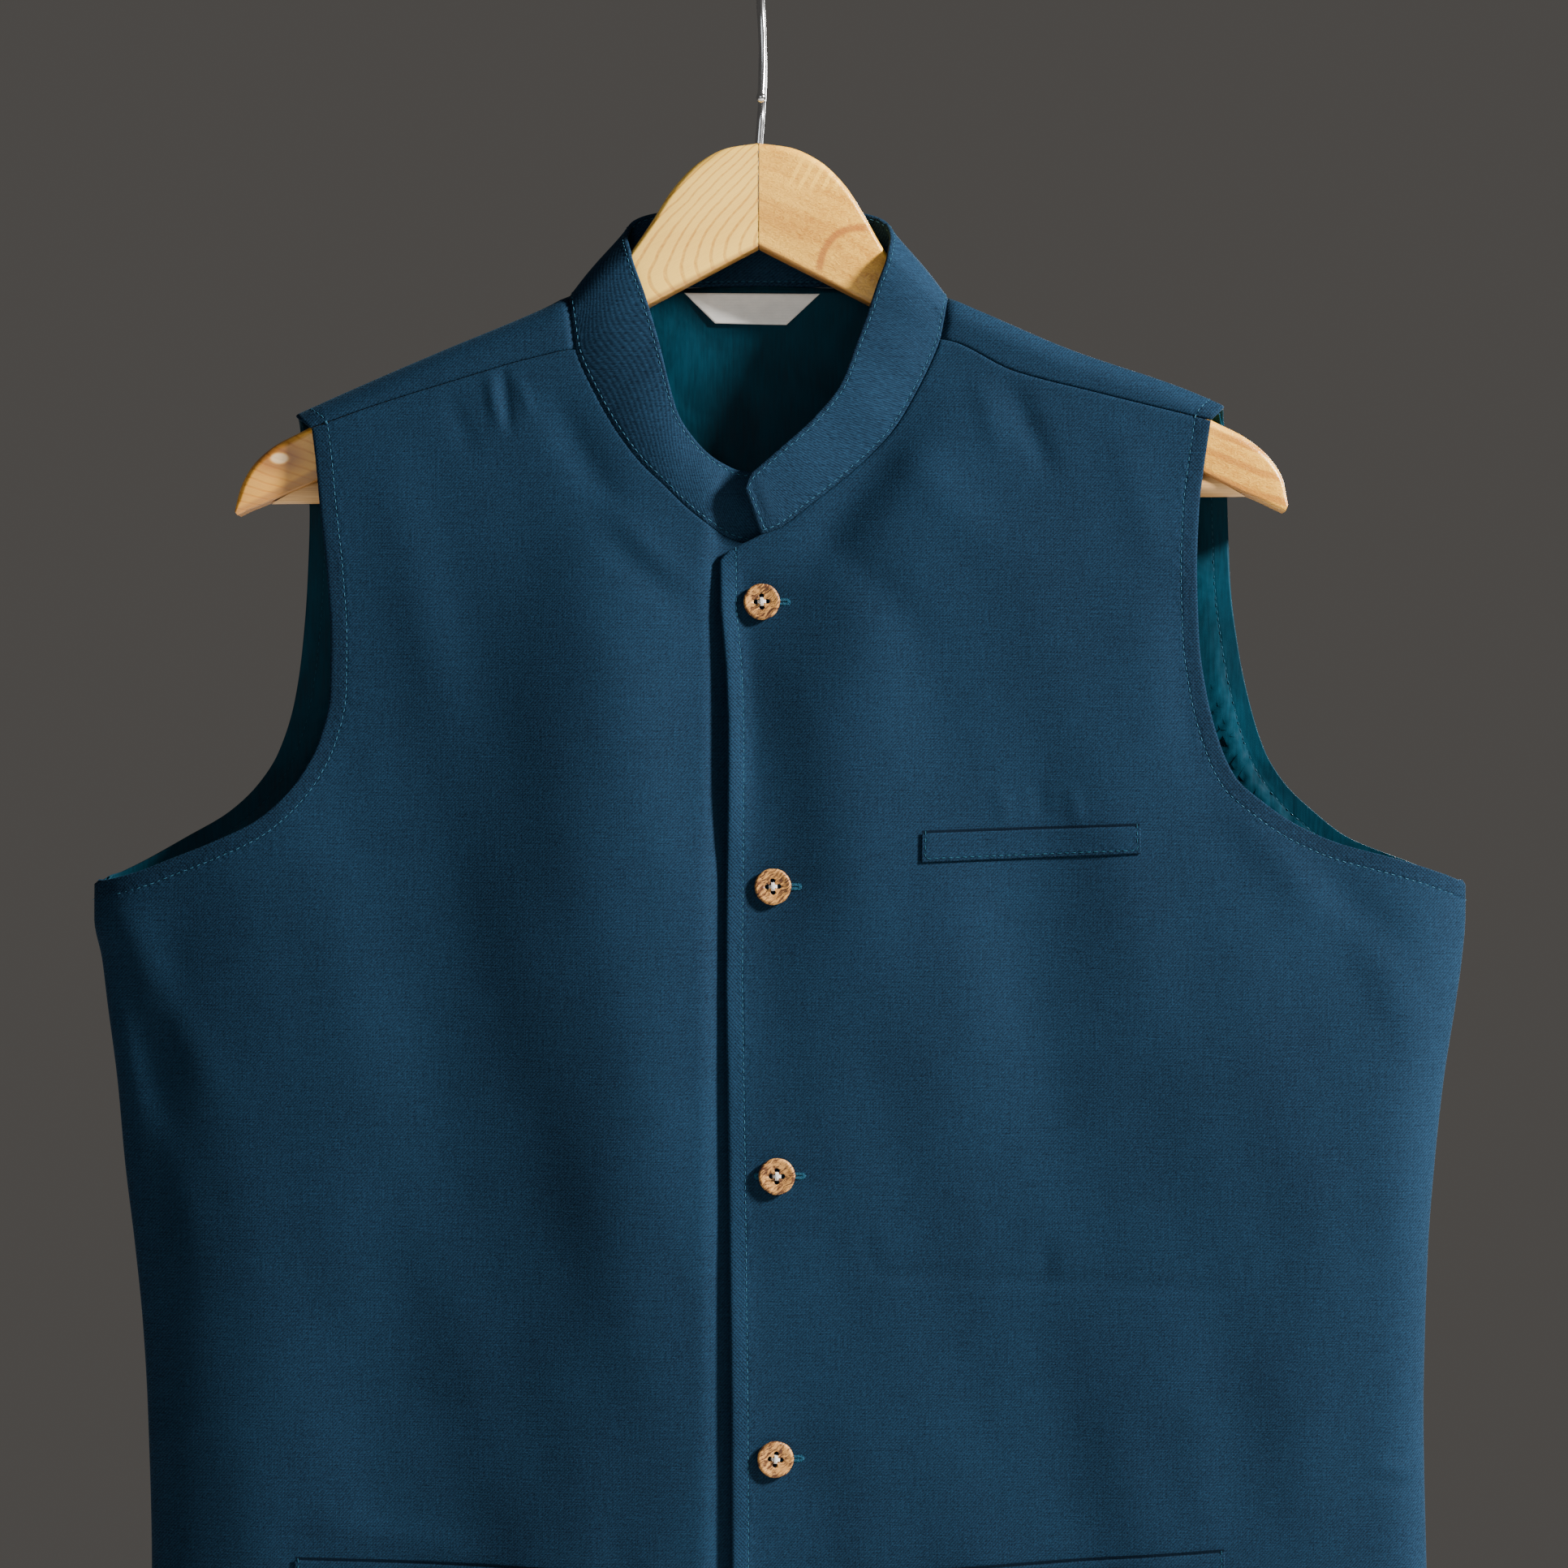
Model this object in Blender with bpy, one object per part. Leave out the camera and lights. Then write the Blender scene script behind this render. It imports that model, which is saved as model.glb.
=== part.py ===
# A sleeveless nehru jacket hanging on a wooden hanger, buttoned, with an open hem.
# The tables and sizes below are in millimetres; points become metres when a mesh is made.
# X runs to the right of a viewer in front, Y to the back and Z up. The origin is the inner
# top of the hook, so a "drop" is a distance below it. The underlap front is at -X.

import math

import bmesh
import bpy
import numpy as np
from mathutils import Vector

MM = 0.001

# Cloth walls
FRONT_WALL = 2.2
BACK_WALL = 2.0
LINING_WALL = 1.0
COLLAR_WALL = 2.0
WELT_WALL = 1.6
LABEL_WALL = 0.6
SEAM = 0.3
COLLAR_SEAM = 0.4
WELT_GAP = 0.5
LABEL_GAP = 0.45

# Body of the jacket
BUTTON_LINE = 6.0
UNDERARM_DROP = 376.4
HEM_DROP = 844.0
ROUND_POWER = 3.1
NECK_ROUND_POWER = 2.5
SHOULDER_ROUND = 9.7
UNDERLAP_STEP = 4.2
UNDERLAP_STEP_START = -28.0
UNDERLAP_STEP_WIDTH = 9.0
EDGE_LIFT = 1.2
EDGE_LIFT_WIDTH = 12.0
EDGE_LIFT_START = 205.0
EDGE_LIFT_FADE = 30.0
SMOOTH_ANGLE = 35.0

# Buttons
BUTTON_DIAMETER = 15.1
BUTTON_THICKNESS = 2.8
BUTTON_HOLE = 1.9
BUTTON_HOLE_RING = 2.3
BUTTON_SIDES = 20
BUTTON_HOLE_SIDES = 8
BUTTON_SEAT_POINTS = 16

# Hanger
ARM_THICKNESS = 14.0
ARM_EDGE_ROUND = 3.6
ARM_ROUND_LIMIT = 0.45
ARM_UNDER_ROUND = 0.35
ARM_QUARTER_POINTS = 4
BAR_DIAMETER = 11.0
BAR_SIDES = 16
BAR_DROP_LEFT = 212.2
BAR_DROP_RIGHT = 209.1
BAR_REACH = 204.0
BAR_CUT_START = 178.0
BAR_CUT_END = 206.0
BAR_CUT_SAMPLES = 30
HOOK_WIRE = 3.3
HOOK_RADIUS = 23.0
HOOK_FOOT_DROP = 66.6
HOOK_BOW = 1.7
HOOK_TURN_STEPS = 12


def table(columns, *rows):
    """Named columns of numbers from a few rows."""
    values = np.array(rows, float)
    return {name: values[:, i] for i, name in enumerate(columns.split())}


def smooth_curve(x, y):
    """A monotone cubic through the points of one table column."""
    x = np.asarray(x, float)
    y = np.asarray(y, float)
    step = np.diff(x)
    slope = np.diff(y) / step
    tangent = np.zeros_like(y)
    tangent[0] = slope[0]
    tangent[-1] = slope[-1]
    for i in range(1, len(x) - 1):
        if slope[i - 1] * slope[i] > 0.0:
            w1 = 2.0 * step[i] + step[i - 1]
            w2 = step[i] + 2.0 * step[i - 1]
            tangent[i] = (w1 + w2) / (w1 / slope[i - 1] + w2 / slope[i])

    def value(at):
        at = np.clip(np.asarray(at, float), x[0], x[-1])
        i = np.clip(np.searchsorted(x, at, side="right") - 1, 0, len(x) - 2)
        t = (at - x[i]) / step[i]
        t2 = t * t
        t3 = t2 * t
        return ((2.0 * t3 - 3.0 * t2 + 1.0) * y[i] + (t3 - 2.0 * t2 + t) * step[i] * tangent[i]
                + (3.0 * t2 - 2.0 * t3) * y[i + 1] + (t3 - t2) * step[i] * tangent[i + 1])

    return value


def smoothstep(value):
    t = np.clip(value, 0.0, 1.0)
    return t * t * (3.0 - 2.0 * t)


# Armhole edges and side seams, seen from the front: a row for each height.
FRONT_EDGE = table(
    "drop left right",
    (183.0, -186.6, 188.4),
    (204.0, -184.0, 185.2),
    (219.0, -182.6, 183.3),
    (246.0, -179.7, 182.2),
    (275.0, -178.0, 183.0),
    (297.0, -178.3, 186.0),
    (316.0, -182.4, 190.8),
    (332.0, -190.5, 197.9),
    (343.0, -200.0, 210.2),
    (351.0, -210.0, 222.0),
    (359.0, -226.6, 239.5),
    (366.0, -244.5, 265.0),
    (371.5, -259.0, 283.0),
    (UNDERARM_DROP, -278.1, 295.8),
)
BACK_EDGE = table(
    "drop left right",
    (176.5, -194.0, 195.0),
    (190.0, -193.0, 196.6),
    (220.0, -189.4, 197.5),
    (250.0, -190.4, 198.7),
    (278.0, -192.7, 202.3),
    (300.0, -196.1, 207.0),
    (322.0, -203.2, 214.2),
    (335.0, -211.6, 222.5),
    (347.0, -224.4, 235.0),
    (357.0, -241.4, 248.0),
    (368.0, -260.9, 275.0),
    (UNDERARM_DROP, -278.1, 295.8),
)
SIDE_SEAM = table(
    "drop left right",
    (UNDERARM_DROP, -278.1, 295.8),
    (391.0, -278.1, 295.6),
    (408.0, -274.8, 294.1),
    (425.0, -272.7, 291.7),
    (459.0, -268.3, 286.3),
    (493.0, -265.2, 282.5),
    (527.0, -261.1, 279.8),
    (561.0, -257.7, 278.5),
    (595.0, -255.7, 277.8),
    (663.0, -254.0, 279.1),
    (740.0, -254.6, 281.5),
    (HEM_DROP, -256.0, 285.0),
)

# The top line of the shoulders, with the back neck seam in its middle.
RIDGE = table(
    "x drop",
    (-194.0, 180.4),
    (-170.0, 169.6),
    (-131.0, 152.7),
    (-89.4, 135.4),
    (-79.2, 130.5),
    (-60.0, 127.2),
    (-28.0, 125.4),
    (0.0, 125.0),
    (28.0, 125.4),
    (60.0, 127.4),
    (79.2, 131.3),
    (90.8, 136.0),
    (130.0, 152.7),
    (179.0, 169.6),
    (195.0, 176.5),
)
NECK_POINT_LEFT = -79.2
NECK_POINT_RIGHT = 79.2

# The shoulder seams, on the front of the shoulders.
SHOULDER_SEAM = table(
    "x drop",
    (-186.6, 186.6),
    (-160.6, 177.3),
    (-130.2, 167.8),
    (-93.0, 157.0),
    (-76.0, 153.6),
    (75.5, 149.6),
    (106.6, 162.8),
    (140.4, 171.6),
    (188.4, 183.4),
)
SHOULDER_SEAM_NECK_LEFT = 4
SHOULDER_SEAM_NECK_RIGHT = 5

# Half depths of the hollow body: its front and back at the middle of each height.
DEPTH = table(
    "drop front back",
    (125.0, 10.3, 14.5),
    (150.0, 10.6, 13.2),
    (187.0, 13.0, 13.3),
    (235.0, 16.5, 15.0),
    (300.0, 20.0, 17.5),
    (376.0, 25.0, 21.0),
    (450.0, 28.0, 24.0),
    (600.0, 28.0, 25.0),
    (700.0, 27.0, 24.0),
    (HEM_DROP, 26.0, 23.0),
)

# The collar, a station for each row: its seam on the neckline and its free top edge.
COLLAR = table(
    "seam_x seam_drop top_x top_drop top_y",
    (4.0, 236.5, 3.0, 205.0, -9.0),
    (-10.0, 233.2, -8.0, 204.0, -10.0),
    (-20.5, 227.1, -15.0, 201.0, -11.4),
    (-30.0, 219.6, -21.5, 196.5, -12.8),
    (-39.0, 210.8, -27.5, 190.0, -14.0),
    (-49.0, 201.0, -33.0, 181.5, -14.8),
    (-59.0, 187.7, -37.0, 169.0, -15.2),
    (-67.8, 172.5, -41.2, 152.0, -15.0),
    (-76.0, 153.6, -47.2, 131.5, -14.4),
    (-77.6, 142.0, -53.0, 115.0, -12.2),
    (-79.2, 130.5, -55.4, 105.0, 0.0),
    (-68.0, 128.2, -54.0, 98.4, 9.0),
    (-45.0, 126.1, -43.0, 93.8, 14.6),
    (-20.0, 125.2, -20.0, 92.0, 17.0),
    (0.0, 125.0, 0.0, 91.6, 17.4),
    (20.0, 125.2, 20.0, 92.0, 17.0),
    (45.0, 126.2, 43.0, 93.8, 14.6),
    (68.0, 128.7, 54.2, 98.4, 9.0),
    (79.2, 131.3, 55.4, 105.0, 0.0),
    (77.35, 140.45, 53.6, 115.0, -12.4),
    (75.5, 149.6, 49.6, 126.0, -14.8),
    (71.8, 159.0, 45.6, 138.0, -15.6),
    (66.0, 170.7, 40.6, 151.5, -16.4),
    (55.8, 187.7, 34.2, 168.5, -17.6),
    (38.9, 204.7, 23.4, 182.5, -19.2),
    (22.0, 218.3, 10.4, 194.5, -20.6),
    (8.5, 228.5, 0.2, 203.4, -21.4),
    (4.4, 230.2, -3.4, 206.8, -21.6),
    (1.1, 231.2, -5.6, 212.6, -21.6),
)
COLLAR_LEFT_RIDGE = 10
COLLAR_RIGHT_RIDGE = 18
COLLAR_WRAP_STATIONS = 2.0
COLLAR_ROWS = 3
COLLAR_BULGE = 1.2

# The rows of each front: where its outer edge lies, and where its inner edge does.
# A station is a place on the collar's seam; past the collar the edge has a place of its own.
UNDERLAP_ROWS = table(
    "outer_drop station inner_x inner_drop",
    (186.6, 8.0, 0.0, 0.0),
    (201.0, 7.0, 0.0, 0.0),
    (215.0, 6.0, 0.0, 0.0),
    (231.0, 5.0, 0.0, 0.0),
    (248.0, 4.0, 0.0, 0.0),
    (266.0, 3.0, 0.0, 0.0),
    (285.0, 2.0, 0.0, 0.0),
    (303.0, 1.0, 0.0, 0.0),
    (319.0, 0.0, 0.0, 0.0),
    (332.0, -1.0, 24.0, 238.5),
    (343.0, -1.0, 24.0, 262.0),
    (351.0, -1.0, 24.0, 286.0),
    (359.0, -1.0, 24.0, 308.0),
    (366.0, -1.0, 24.0, 330.0),
    (371.5, -1.0, 24.0, 350.0),
    (UNDERARM_DROP, -1.0, 24.0, 368.0),
    (391.0, -1.0, 24.0, 388.0),
    (420.0, -1.0, 24.0, 420.0),
    (455.0, -1.0, 24.0, 455.0),
    (490.0, -1.0, 24.0, 490.0),
    (525.0, -1.0, 24.0, 525.0),
    (560.0, -1.0, 24.0, 560.0),
    (600.0, -1.0, 24.0, 600.0),
    (640.0, -1.0, 24.0, 640.0),
    (690.0, -1.0, 24.0, 690.0),
    (740.0, -1.0, 24.0, 740.0),
    (792.0, -1.0, 24.0, 792.0),
    (HEM_DROP, -1.0, 24.0, HEM_DROP),
)
OVERLAP_ROWS = table(
    "outer_drop station inner_x inner_drop",
    (183.4, 20.0, 0.0, 0.0),
    (200.0, 21.0, 0.0, 0.0),
    (215.0, 22.0, 0.0, 0.0),
    (231.0, 23.0, 0.0, 0.0),
    (248.0, 24.0, 0.0, 0.0),
    (266.0, 25.0, 0.0, 0.0),
    (285.0, 26.0, 0.0, 0.0),
    (303.0, 28.0, 0.0, 0.0),
    (319.0, -1.0, -12.6, 238.0),
    (332.0, -1.0, -16.2, 241.6),
    (343.0, -1.0, -15.8, 262.0),
    (351.0, -1.0, -13.6, 286.0),
    (359.0, -1.0, -12.7, 308.0),
    (366.0, -1.0, -12.6, 330.0),
    (371.5, -1.0, -12.8, 350.0),
    (UNDERARM_DROP, -1.0, -13.0, 368.0),
    (391.0, -1.0, -13.2, 388.0),
    (420.0, -1.0, -13.4, 420.0),
    (455.0, -1.0, -13.3, 455.0),
    (490.0, -1.0, -12.3, 490.0),
    (525.0, -1.0, -11.8, 525.0),
    (560.0, -1.0, -11.4, 560.0),
    (600.0, -1.0, -11.0, 600.0),
    (640.0, -1.0, -10.7, 640.0),
    (690.0, -1.0, -10.6, 690.0),
    (740.0, -1.0, -10.6, 740.0),
    (792.0, -1.0, -10.8, 792.0),
    (HEM_DROP, -1.0, -11.0, HEM_DROP),
)
FRONT_COLUMNS = (0.0, 0.008, 0.03, 0.07, 0.12, 0.18, 0.25, 0.33, 0.42, 0.51, 0.60, 0.70, 0.80, 0.90, 1.0)

# Shares of the way down a column of the back, from the top line to the underarm.
BACK_ROWS_ABOVE = (0.0, 0.005, 0.02, 0.045, 0.1, 0.18, 0.28, 0.39, 0.5, 0.6, 0.68, 0.75, 0.81,
                   0.87, 0.92, 0.96, 1.0)
BACK_ROWS_BELOW = (391.0, 420.0, 455.0, 490.0, 525.0, 560.0, 600.0, 640.0, 690.0, 740.0, 792.0,
                   HEM_DROP)
BACK_WRAP_SHARES = (1.0, 0.62, 0.3, 0.08)
BACK_SHOULDER_SHARES = (0.0, 0.06, 0.2, 0.36, 0.52, 0.68, 0.84)
BACK_NECK_STATIONS = (10.0, 10.5, 11.0, 12.0, 13.0, 14.0, 15.0, 16.0, 17.0, 17.5, 18.0)
BACK_SPREAD_END = 0.9
BACK_LOWER_EDGE_SHARES = (0.0, 0.004, 0.016, 0.045, 0.09, 0.15, 0.215, 0.275, 0.305, 0.34, 0.38, 0.44)

# Soft folds of the cloth, seen from the front or from the back: height is outwards.
FOLDS = table(
    "side x top_drop end_drop half_width height lean",
    (-1, -60, 195, 700, 38, 3.6, 0.06),
    (-1, -142, 205, 860, 44, -4.4, -0.01),
    (-1, -212, 400, 860, 20, 1.6, 0.0),
    (-1, -244, 350, 640, 13, -3.0, -0.04),
    (-1, 42, 225, 470, 26, 1.8, -0.03),
    (-1, 108, 230, 600, 28, -2.8, 0.05),
    (-1, 142, 620, 880, 30, -2.6, 0.0),
    (-1, 238, 400, 880, 34, 5.6, 0.0),
    (1, -190, 380, 860, 26, 3.0, -0.03),
    (1, -120, 330, 860, 24, -3.2, -0.02),
    (1, -30, 420, 860, 26, 2.2, 0.0),
    (1, 60, 380, 860, 24, -2.8, 0.02),
    (1, 150, 400, 860, 28, 2.8, 0.03),
    (1, 236, 420, 700, 14, -2.4, 0.03),
)
FOLD_FADE = 110.0

# Rows and columns of the back that its lining leaves out at the neck and the edges.
LINING_TOP_ROWS = 4
LINING_EDGE_COLUMNS = 2

# Hanger arms: each row is a station, with a point of the top edge and one of the under edge.
ARM_LEFT = table(
    "top_x top_drop under_x under_drop",
    (0.0, 67.0, 0.0, 110.5),
    (-13.0, 69.0, -8.0, 114.7),
    (-25.0, 75.0, -18.0, 120.0),
    (-36.0, 86.2, -30.0, 126.4),
    (-44.5, 99.5, -42.0, 132.8),
    (-52.4, 111.0, -54.0, 139.1),
    (-63.0, 124.5, -66.0, 145.5),
    (-79.0, 136.0, -82.0, 154.0),
    (-93.0, 142.2, -97.0, 162.0),
    (-131.0, 157.6, -134.0, 181.6),
    (-169.0, 175.6, -168.0, 199.7),
    (-190.0, 187.0, -186.0, 209.2),
    (-203.4, 194.2, -198.0, 214.3),
    (-212.4, 203.0, -207.0, 218.0),
    (-217.2, 213.0, -213.4, 220.6),
    (-218.8, 221.2, -217.6, 222.6),
)
ARM_RIGHT = table(
    "top_x top_drop under_x under_drop",
    (0.0, 67.0, 0.0, 110.5),
    (13.0, 68.8, 8.0, 114.6),
    (25.0, 74.2, 18.0, 119.7),
    (36.0, 84.6, 30.0, 125.8),
    (44.5, 97.8, 42.0, 132.0),
    (52.0, 111.0, 54.0, 138.1),
    (63.0, 124.5, 66.0, 144.2),
    (79.0, 136.4, 82.0, 152.4),
    (93.0, 142.0, 97.0, 160.1),
    (131.0, 157.8, 134.0, 179.0),
    (171.0, 172.2, 168.0, 196.4),
    (190.0, 183.2, 186.0, 205.4),
    (203.0, 189.8, 200.0, 212.4),
    (213.0, 198.0, 210.0, 216.6),
    (219.2, 208.0, 216.6, 219.8),
    (221.0, 218.2, 219.8, 221.2),
)

BUTTONS = table(
    "x drop",
    (1.2, 259.3),
    (5.9, 377.4),
    (7.5, 496.5),
    (6.9, 613.2),
    (6.2, 731.7),
)

# Half of a button's outline: how far in from its edge, and how high above its middle.
BUTTON_PROFILE = table(
    "inset height",
    (1.4, -1.4),
    (0.0, -0.28),
    (0.25, 0.84),
    (0.9, 1.4),
    (1.7, 1.2),
    (2.6, 0.7),
)

# Welts and label: the corners, outer end first.
WELTS = {
    "chest_welt": ((67.4, 355.3), (158.0, 352.3), (67.2, 367.4), (158.2, 363.7)),
    "hip_welt_right": ((-192.0, 655.8), (-44.0, 661.0), (-192.0, 669.8), (-44.0, 675.0)),
    "hip_welt_left": ((45.0, 661.8), (192.6, 652.2), (45.0, 675.8), (192.6, 666.2)),
}
WELT_COLUMNS = 8
LABEL_CORNERS = ((-31.5, 128.0), (25.6, 128.4), (-18.5, 141.0), (11.6, 141.6))
LABEL_COLUMNS = 6

MATERIALS = {
    "jacket_cloth": ((0.013, 0.042, 0.075), 0.92, 0.0),
    "collar_cloth": ((0.015, 0.048, 0.085), 0.92, 0.0),
    "lining_satin": ((0.008, 0.052, 0.082), 0.5, 0.0),
    "welt_cloth": ((0.012, 0.040, 0.072), 0.92, 0.0),
    "label_tape": ((0.75, 0.73, 0.68), 0.7, 0.0),
    "coconut_shell": ((0.42, 0.25, 0.13), 0.6, 0.0),
    "light_wood": ((0.62, 0.42, 0.22), 0.45, 0.0),
    "bar_wood": ((0.50, 0.34, 0.20), 0.5, 0.0),
    "hook_steel": ((0.72, 0.73, 0.75), 0.18, 1.0),
}


def clear_scene():
    for item in list(bpy.data.objects):
        bpy.data.objects.remove(item, do_unlink=True)


def make_material(name, part):
    colour, roughness, metallic = MATERIALS[name]
    material = bpy.data.materials.new(part + "_" + name)
    material.use_nodes = True
    shader = material.node_tree.nodes["Principled BSDF"]
    shader.inputs["Base Color"].default_value = (*colour, 1.0)
    shader.inputs["Roughness"].default_value = roughness
    shader.inputs["Metallic"].default_value = metallic
    return material


def make_object(name, bm, material):
    bmesh.ops.recalc_face_normals(bm, faces=bm.faces[:])
    mesh = bpy.data.meshes.new(name)
    bm.to_mesh(mesh)
    bm.free()
    mesh.shade_smooth()
    mesh.set_sharp_from_angle(angle=math.radians(SMOOTH_ANGLE))
    item = bpy.data.objects.new(name, mesh)
    bpy.context.scene.collection.objects.link(item)
    item.data.materials.append(make_material(material, name))
    return item


# The body's surface

side_left = smooth_curve(SIDE_SEAM["drop"], SIDE_SEAM["left"])
side_right = smooth_curve(SIDE_SEAM["drop"], SIDE_SEAM["right"])
ridge_drop = smooth_curve(RIDGE["x"], RIDGE["drop"])
seam_drop = smooth_curve(SHOULDER_SEAM["x"], SHOULDER_SEAM["drop"])
front_middle = smooth_curve(DEPTH["drop"], DEPTH["front"])
back_middle = smooth_curve(DEPTH["drop"], DEPTH["back"])


def section_round(x, drop):
    """How deep a section is at x, as a share of its middle: a flattened oval."""
    left = side_left(drop)
    right = side_right(drop)
    reach = np.where(x < BUTTON_LINE, (BUTTON_LINE - x) / (BUTTON_LINE - left),
                     (x - BUTTON_LINE) / (right - BUTTON_LINE))
    reach = np.clip(np.abs(reach), 0.0, 1.0)
    return (1.0 - reach ** ROUND_POWER) ** (1.0 / ROUND_POWER)


def shoulder_round(x, drop):
    """The rounding of the cloth over the hanger, 0 on the top line and 1 below it."""
    below = np.clip((drop - ridge_drop(x)) / SHOULDER_ROUND, 0.0, 1.0)
    return np.sqrt(1.0 - (1.0 - below) ** 2)


def fold_height(side, x, drop):
    """The height of all folds of one side of the body, with soft ends."""
    total = np.zeros(np.broadcast(x, drop).shape)
    for i in range(len(FOLDS["side"])):
        if FOLDS["side"][i] != side:
            continue
        top = FOLDS["top_drop"][i]
        end = FOLDS["end_drop"][i]
        centre = FOLDS["x"][i] + FOLDS["lean"][i] * (drop - top)
        across = np.exp(-((x - centre) / FOLDS["half_width"][i]) ** 2)
        along = smoothstep((drop - top) / FOLD_FADE) * smoothstep((end + FOLD_FADE - drop) / FOLD_FADE)
        total = total + FOLDS["height"][i] * across * along
    return total


def front_y(x, drop):
    """The outer surface of the front of the body."""
    flat = front_middle(drop) * section_round(x, drop)
    folds = fold_height(-1, x, drop) * section_round(x, drop)
    return -(flat + folds) * shoulder_round(x, drop)


def back_y(x, drop):
    """The outer surface of the back of the body, up to the back neck seam."""
    flat = back_middle(drop) * section_round(x, drop)
    folds = fold_height(1, x, drop) * section_round(x, drop)
    inside = np.clip(np.abs(x) / NECK_POINT_RIGHT, 0.0, 1.0)
    neck = np.sqrt(1.0 - inside ** NECK_ROUND_POWER)
    return (flat + folds) * (neck + (1.0 - neck) * shoulder_round(x, drop))


def underlap_y(x, drop):
    """The underlap front steps back behind the overlap."""
    step = smoothstep((x - UNDERLAP_STEP_START) / UNDERLAP_STEP_WIDTH)
    return front_y(x, drop) + UNDERLAP_STEP * step


def overlap_y(x, drop, edge_x):
    """The overlap front stands a little off along its front edge."""
    lift = 1.0 - smoothstep((x - edge_x) / EDGE_LIFT_WIDTH)
    below_neck = smoothstep((drop - EDGE_LIFT_START) / EDGE_LIFT_FADE)
    return front_y(x, drop) - EDGE_LIFT * lift * below_neck


# Walls made from a grid of points

def stack(x, y, drop):
    x, y, drop = np.broadcast_arrays(x, y, drop)
    return np.stack([x, y, -drop], axis=-1)


def unit(vectors):
    return vectors / np.maximum(np.linalg.norm(vectors, axis=-1, keepdims=True), 1e-9)


def masked_difference(points, used, axis):
    """Central differences along one axis that never reach across unused points."""
    ahead = np.roll(points, -1, axis)
    behind = np.roll(points, 1, axis)
    has_ahead = np.roll(used, -1, axis)
    has_behind = np.roll(used, 1, axis)
    last = [slice(None)] * 2
    first = [slice(None)] * 2
    last[axis] = -1
    first[axis] = 0
    has_ahead[tuple(last)] = False
    has_behind[tuple(first)] = False
    far = np.where(has_ahead[..., None], ahead, points)
    near = np.where(has_behind[..., None], behind, points)
    return far - near


def grid_normals(points, used, outwards):
    """Unit normals of a grid; outwards is the side that the first cross product gives."""
    down = unit(masked_difference(points, used, 0))
    across = unit(masked_difference(points, used, 1))
    return unit(np.cross(down, across)) * outwards


def wall_mesh(outer, inner, used):
    """A closed wall between two grids, with a rim wherever the grid ends."""
    rows, columns = used.shape
    bm = bmesh.new()
    corners = {}
    for i in range(rows):
        for j in range(columns):
            if used[i, j]:
                corners[i, j] = (bm.verts.new(Vector(outer[i, j] * MM)),
                                 bm.verts.new(Vector(inner[i, j] * MM)))
    edges = {}
    for i in range(rows - 1):
        for j in range(columns - 1):
            ring = ((i, j), (i, j + 1), (i + 1, j + 1), (i + 1, j))
            if not all(key in corners for key in ring):
                continue
            for face in ((0, 1, 2), (0, 2, 3)):
                bm.faces.new([corners[ring[k]][0] for k in face])
                bm.faces.new([corners[ring[k]][1] for k in reversed(face)])
            for k in range(4):
                edge = (ring[k], ring[(k + 1) % 4])
                if (edge[1], edge[0]) in edges:
                    del edges[edge[1], edge[0]]
                else:
                    edges[edge] = True
    for start, end in edges:
        bm.faces.new([corners[start][1], corners[end][1], corners[end][0]])
        bm.faces.new([corners[start][1], corners[end][0], corners[start][0]])
    return bm


def shoulder_seam_corners(side):
    """The corners of the back's edge along one shoulder seam, from -X to +X."""
    share = np.append(BACK_SHOULDER_SHARES, 1.0)
    tip, neck = (0, SHOULDER_SEAM_NECK_LEFT) if side < 0 else (-1, SHOULDER_SEAM_NECK_RIGHT)
    x = SHOULDER_SEAM["x"][tip] + (SHOULDER_SEAM["x"][neck] - SHOULDER_SEAM["x"][tip]) * share
    if side > 0:
        x = x[::-1]
    return x, seam_drop(x)


def surface_normals(surface, x, drop):
    """Outward unit normals of the front, from its slopes."""
    slope_x = (surface(x + 1.0, drop) - surface(x - 1.0, drop)) / 2.0
    slope_drop = (surface(x, drop + 1.0) - surface(x, drop - 1.0)) / 2.0
    return unit(np.stack([slope_x, -np.ones_like(slope_x), -slope_drop], axis=-1))


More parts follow.
